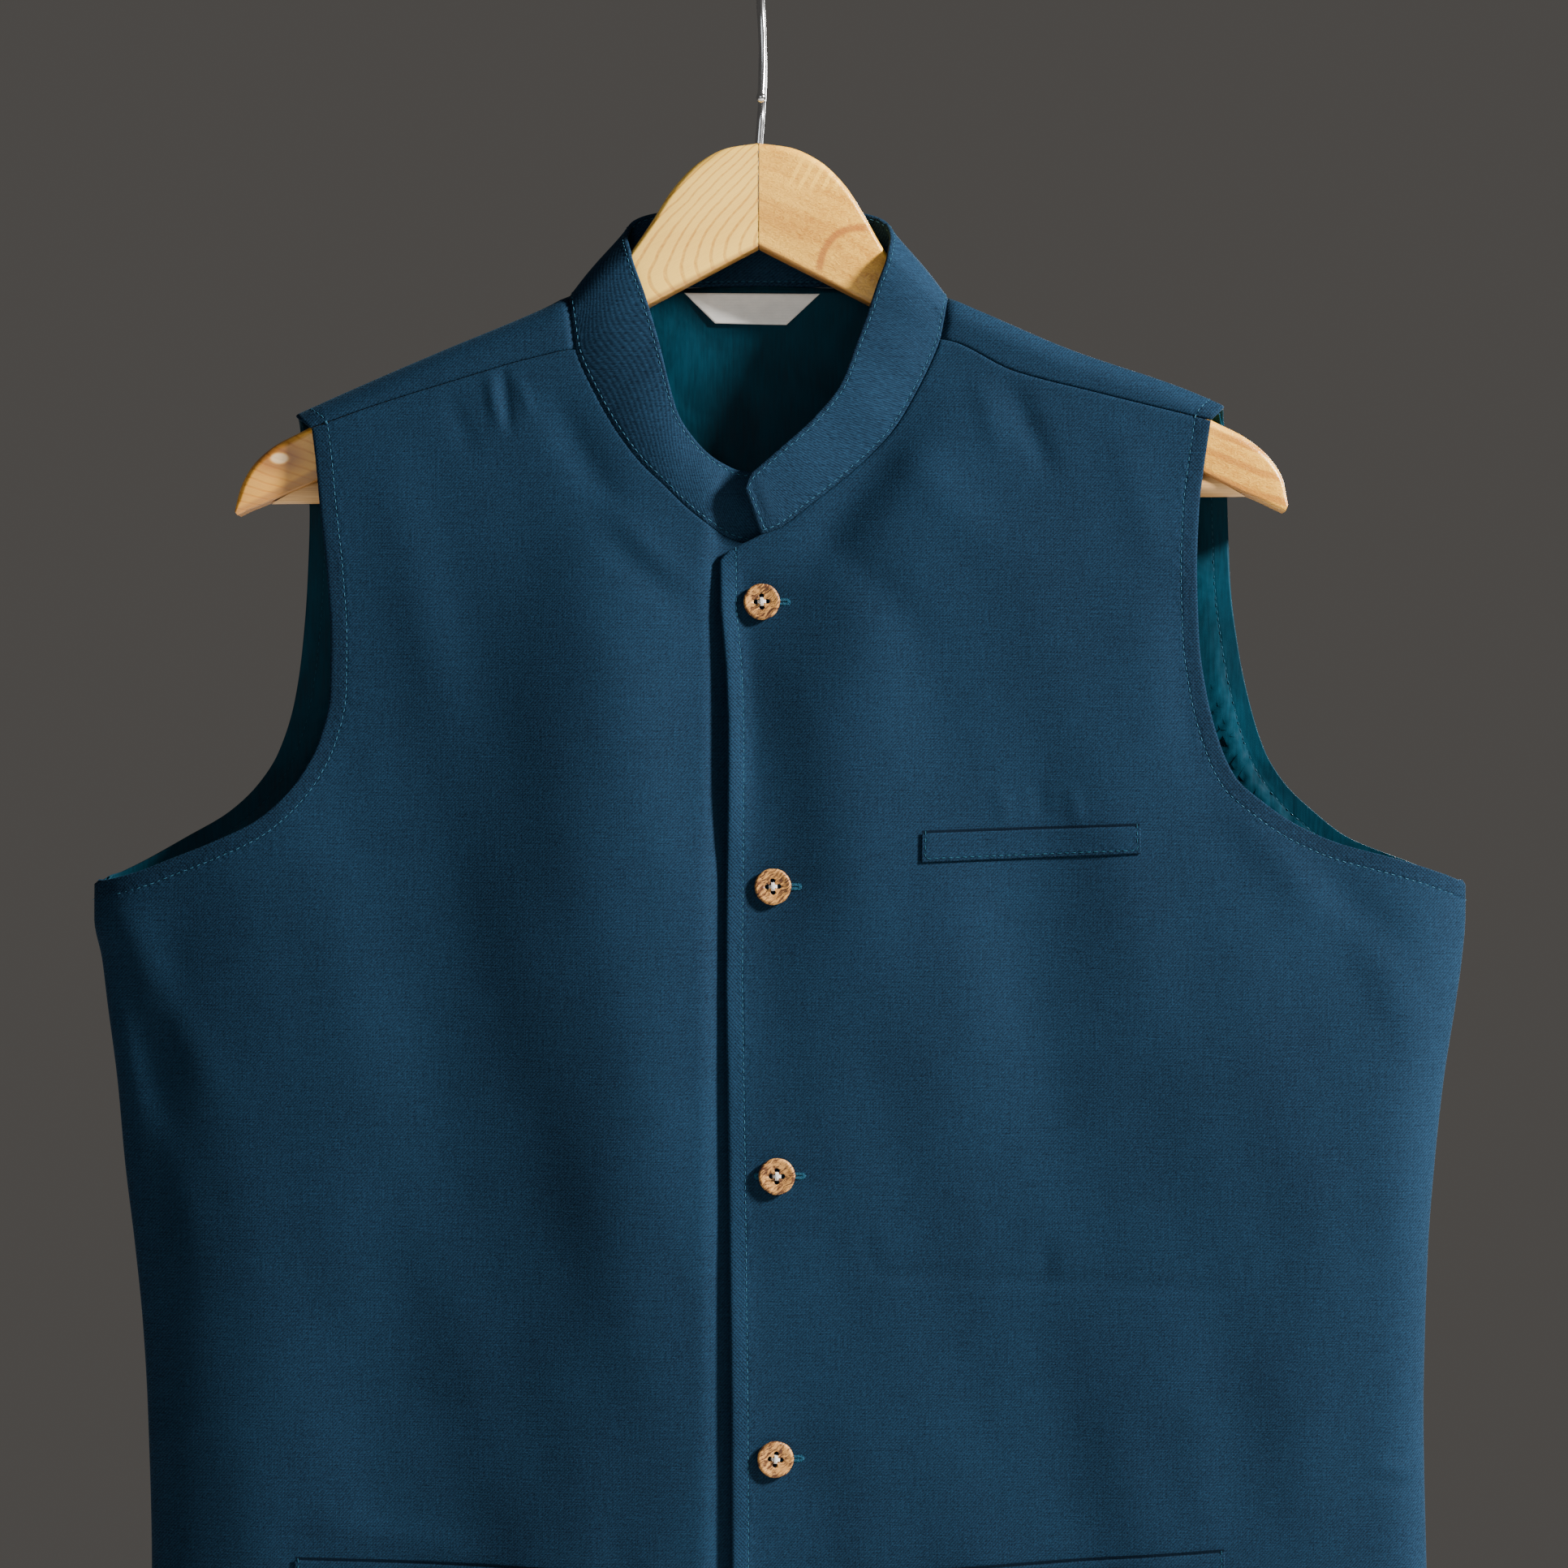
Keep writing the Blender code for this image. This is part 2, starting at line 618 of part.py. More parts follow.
def front_grid(rows, side):
    """Outer points of a front: rows from its armhole or side seam to its inner edge."""
    outer_drop = rows["outer_drop"]
    edge_column = "left" if side < 0 else "right"
    armhole = smooth_curve(FRONT_EDGE["drop"], FRONT_EDGE[edge_column])
    side_seam = side_left if side < 0 else side_right
    outer_x = np.where(outer_drop < UNDERARM_DROP, armhole(outer_drop), side_seam(outer_drop))
    index = np.arange(len(COLLAR["seam_x"]))
    on_collar = rows["station"] >= 0.0
    inner_x = np.where(on_collar, np.interp(rows["station"], index, COLLAR["seam_x"]), rows["inner_x"])
    inner_drop = np.where(on_collar, np.interp(rows["station"], index, COLLAR["seam_drop"]),
                          rows["inner_drop"])
    share = np.array(FRONT_COLUMNS)[None, :]
    x = outer_x[:, None] + (inner_x - outer_x)[:, None] * share
    drop = outer_drop[:, None] + (inner_drop - outer_drop)[:, None] * share
    y = underlap_y(x, drop) if side < 0 else overlap_y(x, drop, inner_x[:, None])
    points = stack(x, y, drop)
    # The top row follows the back's edge along the shoulder seam, a corner at every second column.
    seam_x, seam_drops = shoulder_seam_corners(side)
    seam_y = front_y(seam_x, seam_drops)
    halves = np.arange(len(FRONT_COLUMNS)) / 2.0
    if side > 0:
        halves = halves[::-1]
    corner = np.arange(len(seam_x))
    points[0, :, 0] = np.interp(halves, corner, seam_x)
    points[0, :, 1] = np.interp(halves, corner, seam_y)
    points[0, :, 2] = -np.interp(halves, corner, seam_drops) - SEAM / 2
    on_side = outer_drop >= UNDERARM_DROP
    points[on_side, 0, 1] = -SEAM / 2
    return points, on_side


def make_front(name, rows, side):
    points, on_side = front_grid(rows, side)
    used = np.ones(points.shape[:2], bool)
    normals = grid_normals(points, used, -side)
    normals[0] = surface_normals(front_y, points[0, :, 0], -points[0, :, 2])
    normals[on_side, 0, 1] = 0.0
    normals = unit(normals)
    inner = points - normals * FRONT_WALL
    inner[..., 1] = np.minimum(inner[..., 1], -SEAM / 2)
    make_object(name, wall_mesh(points, inner, used), "jacket_cloth")
    return points, inner


def back_grid():
    """Outer points of the back: over the shoulders, round the neck and down to the hem."""
    index = np.arange(len(COLLAR["seam_x"]))
    shoulder = np.array(BACK_SHOULDER_SHARES)
    left_top = RIDGE["x"][0] + (NECK_POINT_LEFT - RIDGE["x"][0]) * shoulder
    right_top = RIDGE["x"][-1] + (NECK_POINT_RIGHT - RIDGE["x"][-1]) * shoulder[::-1]
    neck_x = np.interp(BACK_NECK_STATIONS, index, COLLAR["seam_x"])
    neck_drop = np.interp(BACK_NECK_STATIONS, index, COLLAR["seam_drop"])
    top_x = np.concatenate([left_top, neck_x, right_top])
    top_drop = np.concatenate([ridge_drop(left_top), neck_drop, ridge_drop(right_top)])
    count = len(top_x)
    first_neck = len(shoulder)
    last_neck = first_neck + len(neck_x) - 1

    seam_x = np.zeros(count)
    seam_x[:first_neck + 1] = shoulder_seam_corners(-1)[0]
    seam_x[last_neck:] = shoulder_seam_corners(1)[0]

    rows = []
    used_rows = []
    on_shoulder = np.ones(count, bool)
    on_shoulder[first_neck + 1:last_neck] = False
    for share in BACK_WRAP_SHARES:
        x = top_x + (seam_x - top_x) * share
        drop = top_drop + (seam_drop(seam_x) - top_drop) * share
        y = front_y(x, drop)
        if share == 1.0:
            drop = drop - SEAM / 2
        rows.append(stack(x, y, drop))
        used_rows.append(on_shoulder)

    armhole_left = smooth_curve(BACK_EDGE["drop"], BACK_EDGE["left"])
    armhole_right = smooth_curve(BACK_EDGE["drop"], BACK_EDGE["right"])
    edge_shares = np.array(BACK_LOWER_EDGE_SHARES)
    low_share = np.concatenate([edge_shares, [0.5], 1.0 - edge_shares[::-1]])
    top_share = (top_x - top_x[0]) / (top_x[-1] - top_x[0])
    for share in BACK_ROWS_ABOVE:
        drop = top_drop + (UNDERARM_DROP - top_drop) * share
        left = armhole_left(drop[0])
        right = armhole_right(drop[-1])
        spread = smoothstep(share / BACK_SPREAD_END)
        mixed = top_share + (low_share - top_share) * spread
        x = left + (right - left) * mixed
        if share == 0.0:
            x = top_x
        rows.append(stack(x, back_y(x, drop), drop))
        used_rows.append(np.ones(count, bool))
    for level in BACK_ROWS_BELOW:
        drop = np.full(count, level)
        left = side_left(level)
        right = side_right(level)
        x = left + (right - left) * low_share
        rows.append(stack(x, back_y(x, drop), drop))
        used_rows.append(np.ones(count, bool))
    points = np.array(rows)
    used = np.array(used_rows)
    first_side = len(BACK_WRAP_SHARES) + len(BACK_ROWS_ABOVE) - 1
    points[first_side:, 0, 1] = SEAM / 2
    points[first_side:, -1, 1] = SEAM / 2
    return points, used, first_side, first_neck, last_neck


def make_back():
    points, used, first_side, first_neck, last_neck = back_grid()
    normals = grid_normals(points, used, -1.0)
    normals[0] = surface_normals(front_y, points[0, :, 0], -points[0, :, 2])
    normals[first_side:, 0, 1] = 0.0
    normals[first_side:, -1, 1] = 0.0
    normals = unit(normals)
    inner = points - normals * BACK_WALL
    below = np.arange(len(points)) >= first_side
    inner[below, :, 1] = np.maximum(inner[below, :, 1], SEAM / 2)
    make_object("back", wall_mesh(points, inner, used), "jacket_cloth")
    return points, inner, normals, used, first_neck, last_neck


def make_back_lining(points, normals, used, first_neck, last_neck):
    """The lining is the back's own points, moved in."""
    covered = used.copy()
    top_row = len(BACK_WRAP_SHARES)
    covered[:top_row + 1] = False
    covered[:top_row + LINING_TOP_ROWS, :first_neck + LINING_EDGE_COLUMNS] = False
    covered[:top_row + LINING_TOP_ROWS, last_neck + 1 - LINING_EDGE_COLUMNS:] = False
    covered[-1] = False
    covered[:, :LINING_EDGE_COLUMNS] = False
    covered[:, -LINING_EDGE_COLUMNS:] = False
    outside = points - normals * (BACK_WALL + SEAM)
    inside = points - normals * (BACK_WALL + SEAM + LINING_WALL)
    make_object("back_lining", wall_mesh(outside, inside, covered), "lining_satin")
    return inside


def make_collar(underlap, overlap, back, first_neck, last_neck):
    """A band whose seam is the neckline of the three panels."""
    index = np.arange(len(COLLAR["seam_x"]))
    wraps = len(BACK_WRAP_SHARES)
    seam_outer = []
    seam_inner = []
    stations = []
    for i in reversed(range(len(UNDERLAP_ROWS["station"]))):
        if UNDERLAP_ROWS["station"][i] >= 0.0:
            seam_outer.append(underlap[0][i, -1])
            seam_inner.append(underlap[1][i, -1])
            stations.append(UNDERLAP_ROWS["station"][i])
    for i in range(1, wraps):
        seam_outer.append(back[0][i, first_neck])
        seam_inner.append(back[1][i, first_neck])
        stations.append(COLLAR_LEFT_RIDGE - COLLAR_WRAP_STATIONS * BACK_WRAP_SHARES[i])
    for j in range(first_neck, last_neck + 1):
        seam_outer.append(back[0][wraps, j])
        seam_inner.append(back[1][wraps, j])
        stations.append(BACK_NECK_STATIONS[j - first_neck])
    for i in reversed(range(1, wraps)):
        seam_outer.append(back[0][i, last_neck])
        seam_inner.append(back[1][i, last_neck])
        stations.append(COLLAR_RIGHT_RIDGE + COLLAR_WRAP_STATIONS * BACK_WRAP_SHARES[i])
    for i in range(len(OVERLAP_ROWS["station"])):
        if OVERLAP_ROWS["station"][i] >= 0.0:
            seam_outer.append(overlap[0][i, -1])
            seam_inner.append(overlap[1][i, -1])
            stations.append(OVERLAP_ROWS["station"][i])
    seam_outer = np.array(seam_outer)
    seam_inner = np.array(seam_inner)
    top_x = smooth_curve(index, COLLAR["top_x"])(stations)
    top_drop = smooth_curve(index, COLLAR["top_drop"])(stations)
    top_y = smooth_curve(index, COLLAR["top_y"])(stations)
    top = stack(top_x, top_y, top_drop)
    lift = unit(top - seam_outer) * COLLAR_SEAM
    bottom = seam_outer + lift
    rows = []
    for k in range(COLLAR_ROWS + 1):
        share = k / COLLAR_ROWS
        rows.append(bottom + (top - bottom) * share)
    points = np.array(rows)
    used = np.ones(points.shape[:2], bool)
    normals = grid_normals(points, used, 1.0)
    for k in range(1, COLLAR_ROWS):
        points[k] += normals[k] * COLLAR_BULGE * math.sin(math.pi * k / COLLAR_ROWS)
    normals = grid_normals(points, used, 1.0)
    inner = points - normals * COLLAR_WALL
    inner[0] = seam_inner + lift
    make_object("collar", wall_mesh(points, inner, used), "collar_cloth")


def facet_y(grid, x, drop):
    """Y on the flat facets of a wall's outer grid, at a place seen from the front."""
    a, b, c, d = grid[:-1, :-1], grid[:-1, 1:], grid[1:, 1:], grid[1:, :-1]
    upper = np.stack([a, b, c], -2).reshape(-1, 3, 3)
    lower = np.stack([a, c, d], -2).reshape(-1, 3, 3)
    facets = np.concatenate([upper, lower])
    origin = facets[:, 0]
    first = facets[:, 1] - origin
    second = facets[:, 2] - origin
    area = first[:, 0] * second[:, 2] - first[:, 2] * second[:, 0]
    area = np.where(np.abs(area) < 1e-9, 1e-9, area)
    result = []
    for at_x, at_drop in zip(np.ravel(x), np.ravel(drop)):
        u = ((at_x - origin[:, 0]) * second[:, 2] - (-at_drop - origin[:, 2]) * second[:, 0]) / area
        v = ((-at_drop - origin[:, 2]) * first[:, 0] - (at_x - origin[:, 0]) * first[:, 2]) / area
        outside = np.maximum(np.maximum(-u, -v), u + v - 1.0)
        k = int(np.argmin(outside))
        result.append(origin[k, 1] + u[k] * first[k, 1] + v[k] * second[k, 1])
    return np.array(result).reshape(np.shape(x))


def patch_points(corners, columns, rows):
    """A grid between four corners: two along its top and two along its foot."""
    top_start, top_end, foot_start, foot_end = (np.array(corner) for corner in corners)
    across = np.linspace(0.0, 1.0, columns + 1)[None, :, None]
    down = np.linspace(0.0, 1.0, rows + 1)[:, None, None]
    top = top_start + (top_end - top_start) * across
    foot = foot_start + (foot_end - foot_start) * across
    return top + (foot - top) * down


def make_welt(name, corners, panel):
    """A stitched strip on a front, made from the front's own facets, moved out."""
    flat = patch_points(corners, WELT_COLUMNS, 2)
    x = flat[..., 0]
    drop = flat[..., 1]
    surface = stack(x, facet_y(panel, x, drop), drop)
    used = np.ones(surface.shape[:2], bool)
    normals = grid_normals(surface, used, 1.0)
    normals = np.where(normals[..., 1:2] > 0.0, -normals, normals)
    inner = surface + normals * WELT_GAP
    outer = inner + normals * WELT_WALL
    make_object(name, wall_mesh(outer, inner, used), "welt_cloth")


def make_label():
    """A bare tape on the lining at the back neck."""
    flat = patch_points(LABEL_CORNERS, LABEL_COLUMNS, 2)
    x = flat[..., 0]
    drop = flat[..., 1]
    depth = back_y(x, drop) - BACK_WALL - SEAM - LINING_WALL - LABEL_GAP
    outer = stack(x, depth, drop)
    inner = outer - np.array([0.0, LABEL_WALL, 0.0])
    used = np.ones(outer.shape[:2], bool)
    make_object("label", wall_mesh(outer, inner, used), "label_tape")


def button_seat(panel, x, drop):
    """The normal of the overlap under a button, and the middle of the plane that just clears it."""
    reach = BUTTON_DIAMETER / 2.0
    slope_x = float(facet_y(panel, x + reach, drop) - facet_y(panel, x - reach, drop)) / (2.0 * reach)
    slope_drop = float(facet_y(panel, x, drop + reach) - facet_y(panel, x, drop - reach)) / (2.0 * reach)
    normal = Vector((slope_x, -1.0, -slope_drop)).normalized()
    angles = np.linspace(0.0, 2.0 * math.pi, BUTTON_SEAT_POINTS, endpoint=False)
    across = reach * np.cos(angles)
    down = reach * np.sin(angles)
    around_x = x + np.concatenate([[0.0], across, across / 2.0])
    around_drop = drop + np.concatenate([[0.0], down, down / 2.0])
    around = stack(around_x, facet_y(panel, around_x, around_drop), around_drop)
    proud = (around - around[0]) @ np.array(normal)
    return Vector(around[0]) + normal * (float(proud.max()) + SEAM), normal


def make_button(name, x, drop, panel):
    """A turned disc with a dished face and four holes, standing just off the overlap."""
    radius = BUTTON_DIAMETER / 2.0
    half = BUTTON_THICKNESS / 2.0
    bm = bmesh.new()
    rings = []
    for inset, height in zip(BUTTON_PROFILE["inset"], BUTTON_PROFILE["height"]):
        ring_radius = radius - inset
        ring = []
        for k in range(BUTTON_SIDES):
            angle = 2.0 * math.pi * k / BUTTON_SIDES
            place = (ring_radius * math.cos(angle), ring_radius * math.sin(angle), height)
            ring.append(bm.verts.new(Vector(place) * MM))
        rings.append(ring)
    for lower, upper in zip(rings, rings[1:]):
        for k in range(BUTTON_SIDES):
            after = (k + 1) % BUTTON_SIDES
            bm.faces.new([lower[k], lower[after], upper[after], upper[k]])
    bm.faces.new(list(reversed(rings[0])))
    bm.faces.new(rings[-1])
    button = make_object(name, bm, "coconut_shell")

    holes = bmesh.new()
    for k in range(4):
        angle = math.pi / 2.0 * k
        centre = Vector((math.cos(angle), math.sin(angle), 0.0)) * BUTTON_HOLE_RING * MM
        made = bmesh.ops.create_cone(holes, cap_ends=True, segments=BUTTON_HOLE_SIDES,
                                     radius1=BUTTON_HOLE / 2.0 * MM, radius2=BUTTON_HOLE / 2.0 * MM,
                                     depth=BUTTON_THICKNESS * 2.0 * MM)
        bmesh.ops.translate(holes, verts=made["verts"], vec=centre)
    cutter = make_object(name + "_holes", holes, "coconut_shell")
    cutter.hide_render = True
    cutter.display_type = "WIRE"
    cut = button.modifiers.new("four holes", "BOOLEAN")
    cut.operation = "DIFFERENCE"
    cut.object = cutter
    cut.solver = "EXACT"

    seat, normal = button_seat(panel, x, drop)
    place = seat + normal * half
    turn = Vector((0.0, 0.0, 1.0)).rotation_difference(normal)
    for item in (button, cutter):
        item.rotation_mode = "QUATERNION"
        item.rotation_quaternion = turn
        item.location = place * MM


def make_arm(name, stations, side):
    """Half of the hanger, from the mitre at the head to the tip, with rounded edges."""
    half = ARM_THICKNESS / 2.0
    bm = bmesh.new()
    rings = []
    count = len(stations["top_x"])
    for k in range(count):
        top = np.array([stations["top_x"][k], 0.0, -stations["top_drop"][k]])
        under = np.array([stations["under_x"][k], 0.0, -stations["under_drop"][k]])
        if k == 0:
            top[0] = side * SEAM / 2
            under[0] = side * SEAM / 2
        down = under - top
        height = np.linalg.norm(down)
        down = down / height
        rounding = min(ARM_EDGE_ROUND, height * ARM_ROUND_LIMIT)
        under_rounding = rounding * ARM_UNDER_ROUND
        ring = []
        for start, radius, base in ((0.0, rounding, top), (180.0, under_rounding, under)):
            for quarter in (0, 1):
                for step in range(ARM_QUARTER_POINTS):
                    turn = quarter + step / (ARM_QUARTER_POINTS - 1)
                    angle = math.radians(start + 90.0 * turn)
                    along = radius * math.sin(angle)
                    across = radius * math.cos(angle)
                    sign = 1.0 if quarter == 0 else -1.0
                    sign = sign if start == 0.0 else -sign
                    inset = radius - along if start == 0.0 else -radius - along
                    y = sign * (half - radius) + across
                    ring.append(base + down * inset + np.array([0.0, y, 0.0]))
        rings.append([bm.verts.new(Vector(point * MM)) for point in ring])
    size = len(rings[0])
    for first, second in zip(rings, rings[1:]):
        for k in range(size):
            after = (k + 1) % size
            bm.faces.new([first[k], first[after], second[after]])
            bm.faces.new([first[k], second[after], second[k]])
    bm.faces.new(rings[0])
    bm.faces.new(rings[-1])
    return make_object(name, bm, "light_wood")


def under_edge_at(stations, x):
    order = np.argsort(stations["under_x"])
    return np.interp(x, stations["under_x"][order], stations["under_drop"][order])


def make_bar():
    """The round bar, cut to the slope of the arms' under edges at both ends."""
    radius = BAR_DIAMETER / 2.0
    run = (BAR_DROP_RIGHT - BAR_DROP_LEFT) / (2.0 * BAR_REACH)
    bm = bmesh.new()
    ends = []
    for stations, side in ((ARM_LEFT, -1.0), (ARM_RIGHT, 1.0)):
        x = np.linspace(side * BAR_CUT_START, side * BAR_CUT_END, BAR_CUT_SAMPLES)
        edge = under_edge_at(stations, x)
        slope = (edge[-1] - edge[0]) / (x[-1] - x[0])
        cut = float(np.max(edge - slope * x)) + SEAM / math.cos(math.atan(slope))
        ring = []
        for k in range(BAR_SIDES):
            angle = 2.0 * math.pi * (k + 0.5) / BAR_SIDES
            up = radius * math.cos(angle)
            # Where the bar's line at this angle meets the sloping cut.
            line = (BAR_DROP_LEFT + BAR_DROP_RIGHT) / 2.0 - up
            at_x = (line - cut) / (slope - run)
            ring.append(bm.verts.new(Vector((at_x, radius * math.sin(angle), -(line + run * at_x))) * MM))
        ends.append(ring)
    for k in range(BAR_SIDES):
        after = (k + 1) % BAR_SIDES
        bm.faces.new([ends[0][k], ends[0][after], ends[1][after], ends[1][k]])
    bm.faces.new(ends[0])
    bm.faces.new(ends[1])
    make_object("trouser_bar", bm, "bar_wood")


def hook_route():
    """The wire's middle line: shank, bend to the back, round over the top, and the tip."""
    centre_drop = HOOK_RADIUS - HOOK_WIRE / 2.0
    route = [(0.0, HOOK_FOOT_DROP), (0.0, 60.0), (0.6, 54.0), (4.2, 48.0), (10.6, 42.0), (17.0, 35.6),
             (21.4, 28.6)]
    for step in range(HOOK_TURN_STEPS + 1):
        angle = math.pi * step / HOOK_TURN_STEPS
        route.append((HOOK_RADIUS * math.cos(angle), centre_drop - HOOK_RADIUS * math.sin(angle)))
    route += [(-23.2, 28.0), (-24.0, 36.0), (-25.2, 44.0), (-26.6, 51.4)]
    points = []
    for y, drop in route:
        bow = HOOK_BOW * math.sin(math.pi * max(0.0, min(1.0, drop / HOOK_FOOT_DROP)))
        points.append(Vector((bow, y, -drop)) * MM)
    return points


def make_hook():
    curve = bpy.data.curves.new("hook", "CURVE")
    curve.dimensions = "3D"
    curve.bevel_depth = HOOK_WIRE / 2.0 * MM
    curve.bevel_resolution = 2
    curve.use_fill_caps = True
    points = hook_route()
    spline = curve.splines.new("POLY")
    spline.points.add(len(points) - 1)
    for slot, point in zip(spline.points, points):
        slot.co = (*point, 1.0)
    hook = bpy.data.objects.new("hook", curve)
    bpy.context.scene.collection.objects.link(hook)
    hook.data.materials.append(make_material("hook_steel", "hook"))


def main():
    clear_scene()
    underlap = make_front("front_right", UNDERLAP_ROWS, -1)
    overlap = make_front("front_left", OVERLAP_ROWS, 1)
    outer, inner, normals, used, first_neck, last_neck = make_back()
    make_back_lining(outer, normals, used, first_neck, last_neck)
    make_collar(underlap, overlap, (outer, inner), first_neck, last_neck)
    for name, corners in WELTS.items():
        panel = underlap if corners[0][0] < 0.0 else overlap
        make_welt(name, corners, panel[0])
    make_label()
    for k in range(len(BUTTONS["x"])):
        make_button("button_%d" % (k + 1), BUTTONS["x"][k], BUTTONS["drop"][k], overlap[0])
    make_arm("hanger_arm_left", ARM_LEFT, -1)
    make_arm("hanger_arm_right", ARM_RIGHT, 1)
    make_bar()
    make_hook()


main()
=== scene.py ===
# The looks of a sleeveless nehru jacket on a wooden hanger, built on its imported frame.
# The tables and sizes below are in millimetres; points become metres when a mesh is made.
# X runs to the right of a viewer in front, Y to the back and Z up. The origin is the inner
# top of the hook, so a "drop" is a distance below it. The underlap front is at -X.

import math

import bmesh
import bpy
import numpy as np
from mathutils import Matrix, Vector


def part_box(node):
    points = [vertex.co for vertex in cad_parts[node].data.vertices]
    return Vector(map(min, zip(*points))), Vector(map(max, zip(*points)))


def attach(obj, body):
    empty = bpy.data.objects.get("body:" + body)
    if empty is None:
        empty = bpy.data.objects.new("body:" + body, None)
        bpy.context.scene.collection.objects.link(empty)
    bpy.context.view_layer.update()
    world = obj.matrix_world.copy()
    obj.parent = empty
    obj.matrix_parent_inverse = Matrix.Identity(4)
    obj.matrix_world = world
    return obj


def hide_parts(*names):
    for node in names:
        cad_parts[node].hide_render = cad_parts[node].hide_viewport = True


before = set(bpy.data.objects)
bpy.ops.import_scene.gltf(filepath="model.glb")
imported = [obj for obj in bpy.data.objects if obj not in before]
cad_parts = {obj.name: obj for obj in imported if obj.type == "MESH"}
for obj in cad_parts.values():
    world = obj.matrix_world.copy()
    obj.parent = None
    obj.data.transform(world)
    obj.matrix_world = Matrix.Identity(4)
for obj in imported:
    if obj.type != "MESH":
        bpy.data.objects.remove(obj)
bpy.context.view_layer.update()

MM = 0.001
TAU = 2.0 * math.pi

# Camera and studio
CAMERA_RIGHT = 10.54
CAMERA_DISTANCE = 1860.0
CAMERA_DROP = 334.9
VIEW_WIDTH = 656.9
SENSOR_WIDTH = 36.0
FLOOR_DROP = 1400.0
FLOOR_RADIUS = 2600.0

# Lights: place and size in metres, power in watts and colour.
LIGHTS = {
    "key": ((2.6, -1.02, 1.15), 0.5, 470.0, (1.0, 0.965, 0.92)),
    "fill": ((-0.6, -2.6, 0.2), 1.6, 12.0, (0.93, 0.97, 1.0)),
    "back": ((0.9, 2.6, 0.1), 1.2, 60.0, (1.0, 0.98, 0.95)),
}
LIGHT_TARGET = (0.0, 0.0, -0.4)
BACKDROP_COLOUR = (0.46, 0.43, 0.40, 1.0)
BACKDROP_STRENGTH = 0.17

# Dark and light colours of the cloths and threads.
JACKET_COLOURS = ((0.0010, 0.0056, 0.0130), (0.0100, 0.0345, 0.0705))
# Painted light: the collar is the jacket's own cloth, given lighter colours for the light it catches.
COLLAR_LIT_COLOURS = ((0.0014, 0.0064, 0.0148), (0.0130, 0.0415, 0.0830))
LINING_COLOURS = ((0.0005, 0.0120, 0.0215), (0.0024, 0.0400, 0.0680))
LABEL_COLOURS = ((0.66, 0.66, 0.64), (0.94, 0.94, 0.91))
SHELL_COLOURS = ((0.075, 0.024, 0.006), (0.56, 0.270, 0.070))
TEAL_THREAD = ((0.010, 0.050, 0.085), (0.040, 0.150, 0.235))
INSIDE_THREAD = ((0.004, 0.036, 0.062), (0.014, 0.090, 0.140))
BUTTONHOLE_THREAD = ((0.006, 0.040, 0.075), (0.018, 0.110, 0.190))
WHITE_THREAD = ((0.42, 0.40, 0.37), (0.86, 0.84, 0.80))
THREAD_PLY = 0.5
BUTTON_THREAD_PLY = 0.7

# Cloth walls
FRONT_WALL = 2.0
BACK_WALL = 1.8
LINING_WALL = 0.8
LINING_GAP = 0.4
COLLAR_WALL = 2.0
WELT_WALL = 0.9
WELT_GAP = 0.2
LABEL_WALL = 0.6
LABEL_GAP = 0.45
SEAM = 0.3
SHOULDER_SEAM_GAP = 0.12
COLLAR_SEAM = -0.3
EDGE_STEPS = (0.0, 0.25, 0.7, 1.5, 3.0, 5.0, 7.0, 9.5)
EDGE_ROUND = 1.5
EDGE_THIN = 0.3
GRID_STEP = 3.0

# Body of the jacket
BUTTON_LINE = 6.0
UNDERARM_DROP = 376.4
HEM_DROP = 844.0
ROUND_POWER = 3.1
NECK_ROUND_POWER = 2.5
SHOULDER_ROUND = 9.7
UNDERLAP_STEP = 3.3
UNDERLAP_STEP_START = -23.0
UNDERLAP_STEP_WIDTH = 8.5
EDGE_LIFT_WIDTH = 12.0
EDGE_LIFT_START = 205.0
EDGE_LIFT_FADE = 30.0
FOLD_FADE = 110.0
CREASE_FADE = 0.2
RIPPLE_START = 150.0
BUTTON_PULL = 0.8
BUTTON_PULL_WIDTH = 15.0
BUTTON_PULL_HEIGHT = 9.0

# Grids of the panels
FINE_SAMPLES = 4000
FRONT_MIDDLE_COLUMNS = 88
MAX_EDGE_SCALE = 2.6
SCALE_SMOOTHING = 4
SEAM_BEND_FADE = 60.0
BACK_SHOULDER_COLUMNS = 28
BACK_NECK_COLUMNS = 50
BACK_CLOTH_SHIFT = 700.0
NECK_JOIN = 40.0

# The lining of the back
LINING_TOP_ROWS = 3
LINING_EDGE_COLUMNS = 3
LINING_HEM = 14.0
PUCKER_LENGTH = 9.0
PUCKER_DRIFT = 17.0
PUCKER_SLANT = 1.5
PUCKER_WIDTH = 4.0
PUCKER_REACH = 40.0
PUCKER_DROP = 322.0
PUCKER_SPREAD = 30.0
PUCKER_HEIGHT = 3.0

# Sewing
PLACKET_STITCH_START = 243.0
PLACKET_LEAD = 6
PLACKET_RISE = 40.0
TOPSTITCH_INSET = 6.8
COLLAR_STITCH_INSET = 2.0
STITCH_PITCH = 3.0
STITCH_LENGTH = 2.0
STITCH_WANDER = 0.09
STITCH_SHORTEST = 0.86
STITCH_LONGEST = 1.08
THREAD_WIDTH = 0.34
STITCH_LIFT = 0.05
WHIP_PITCH = 0.42
WHIP_LENGTH = 1.5
WELT_STITCH_INSET = 1.2
WELT_GAPE = 0.4
MOUTH_ABOVE = 0.5
BUTTONHOLE_END = 11.5
BUTTONHOLE_LIP = 0.8
LABEL_HANG = 0.9
LABEL_WAVE = 0.25

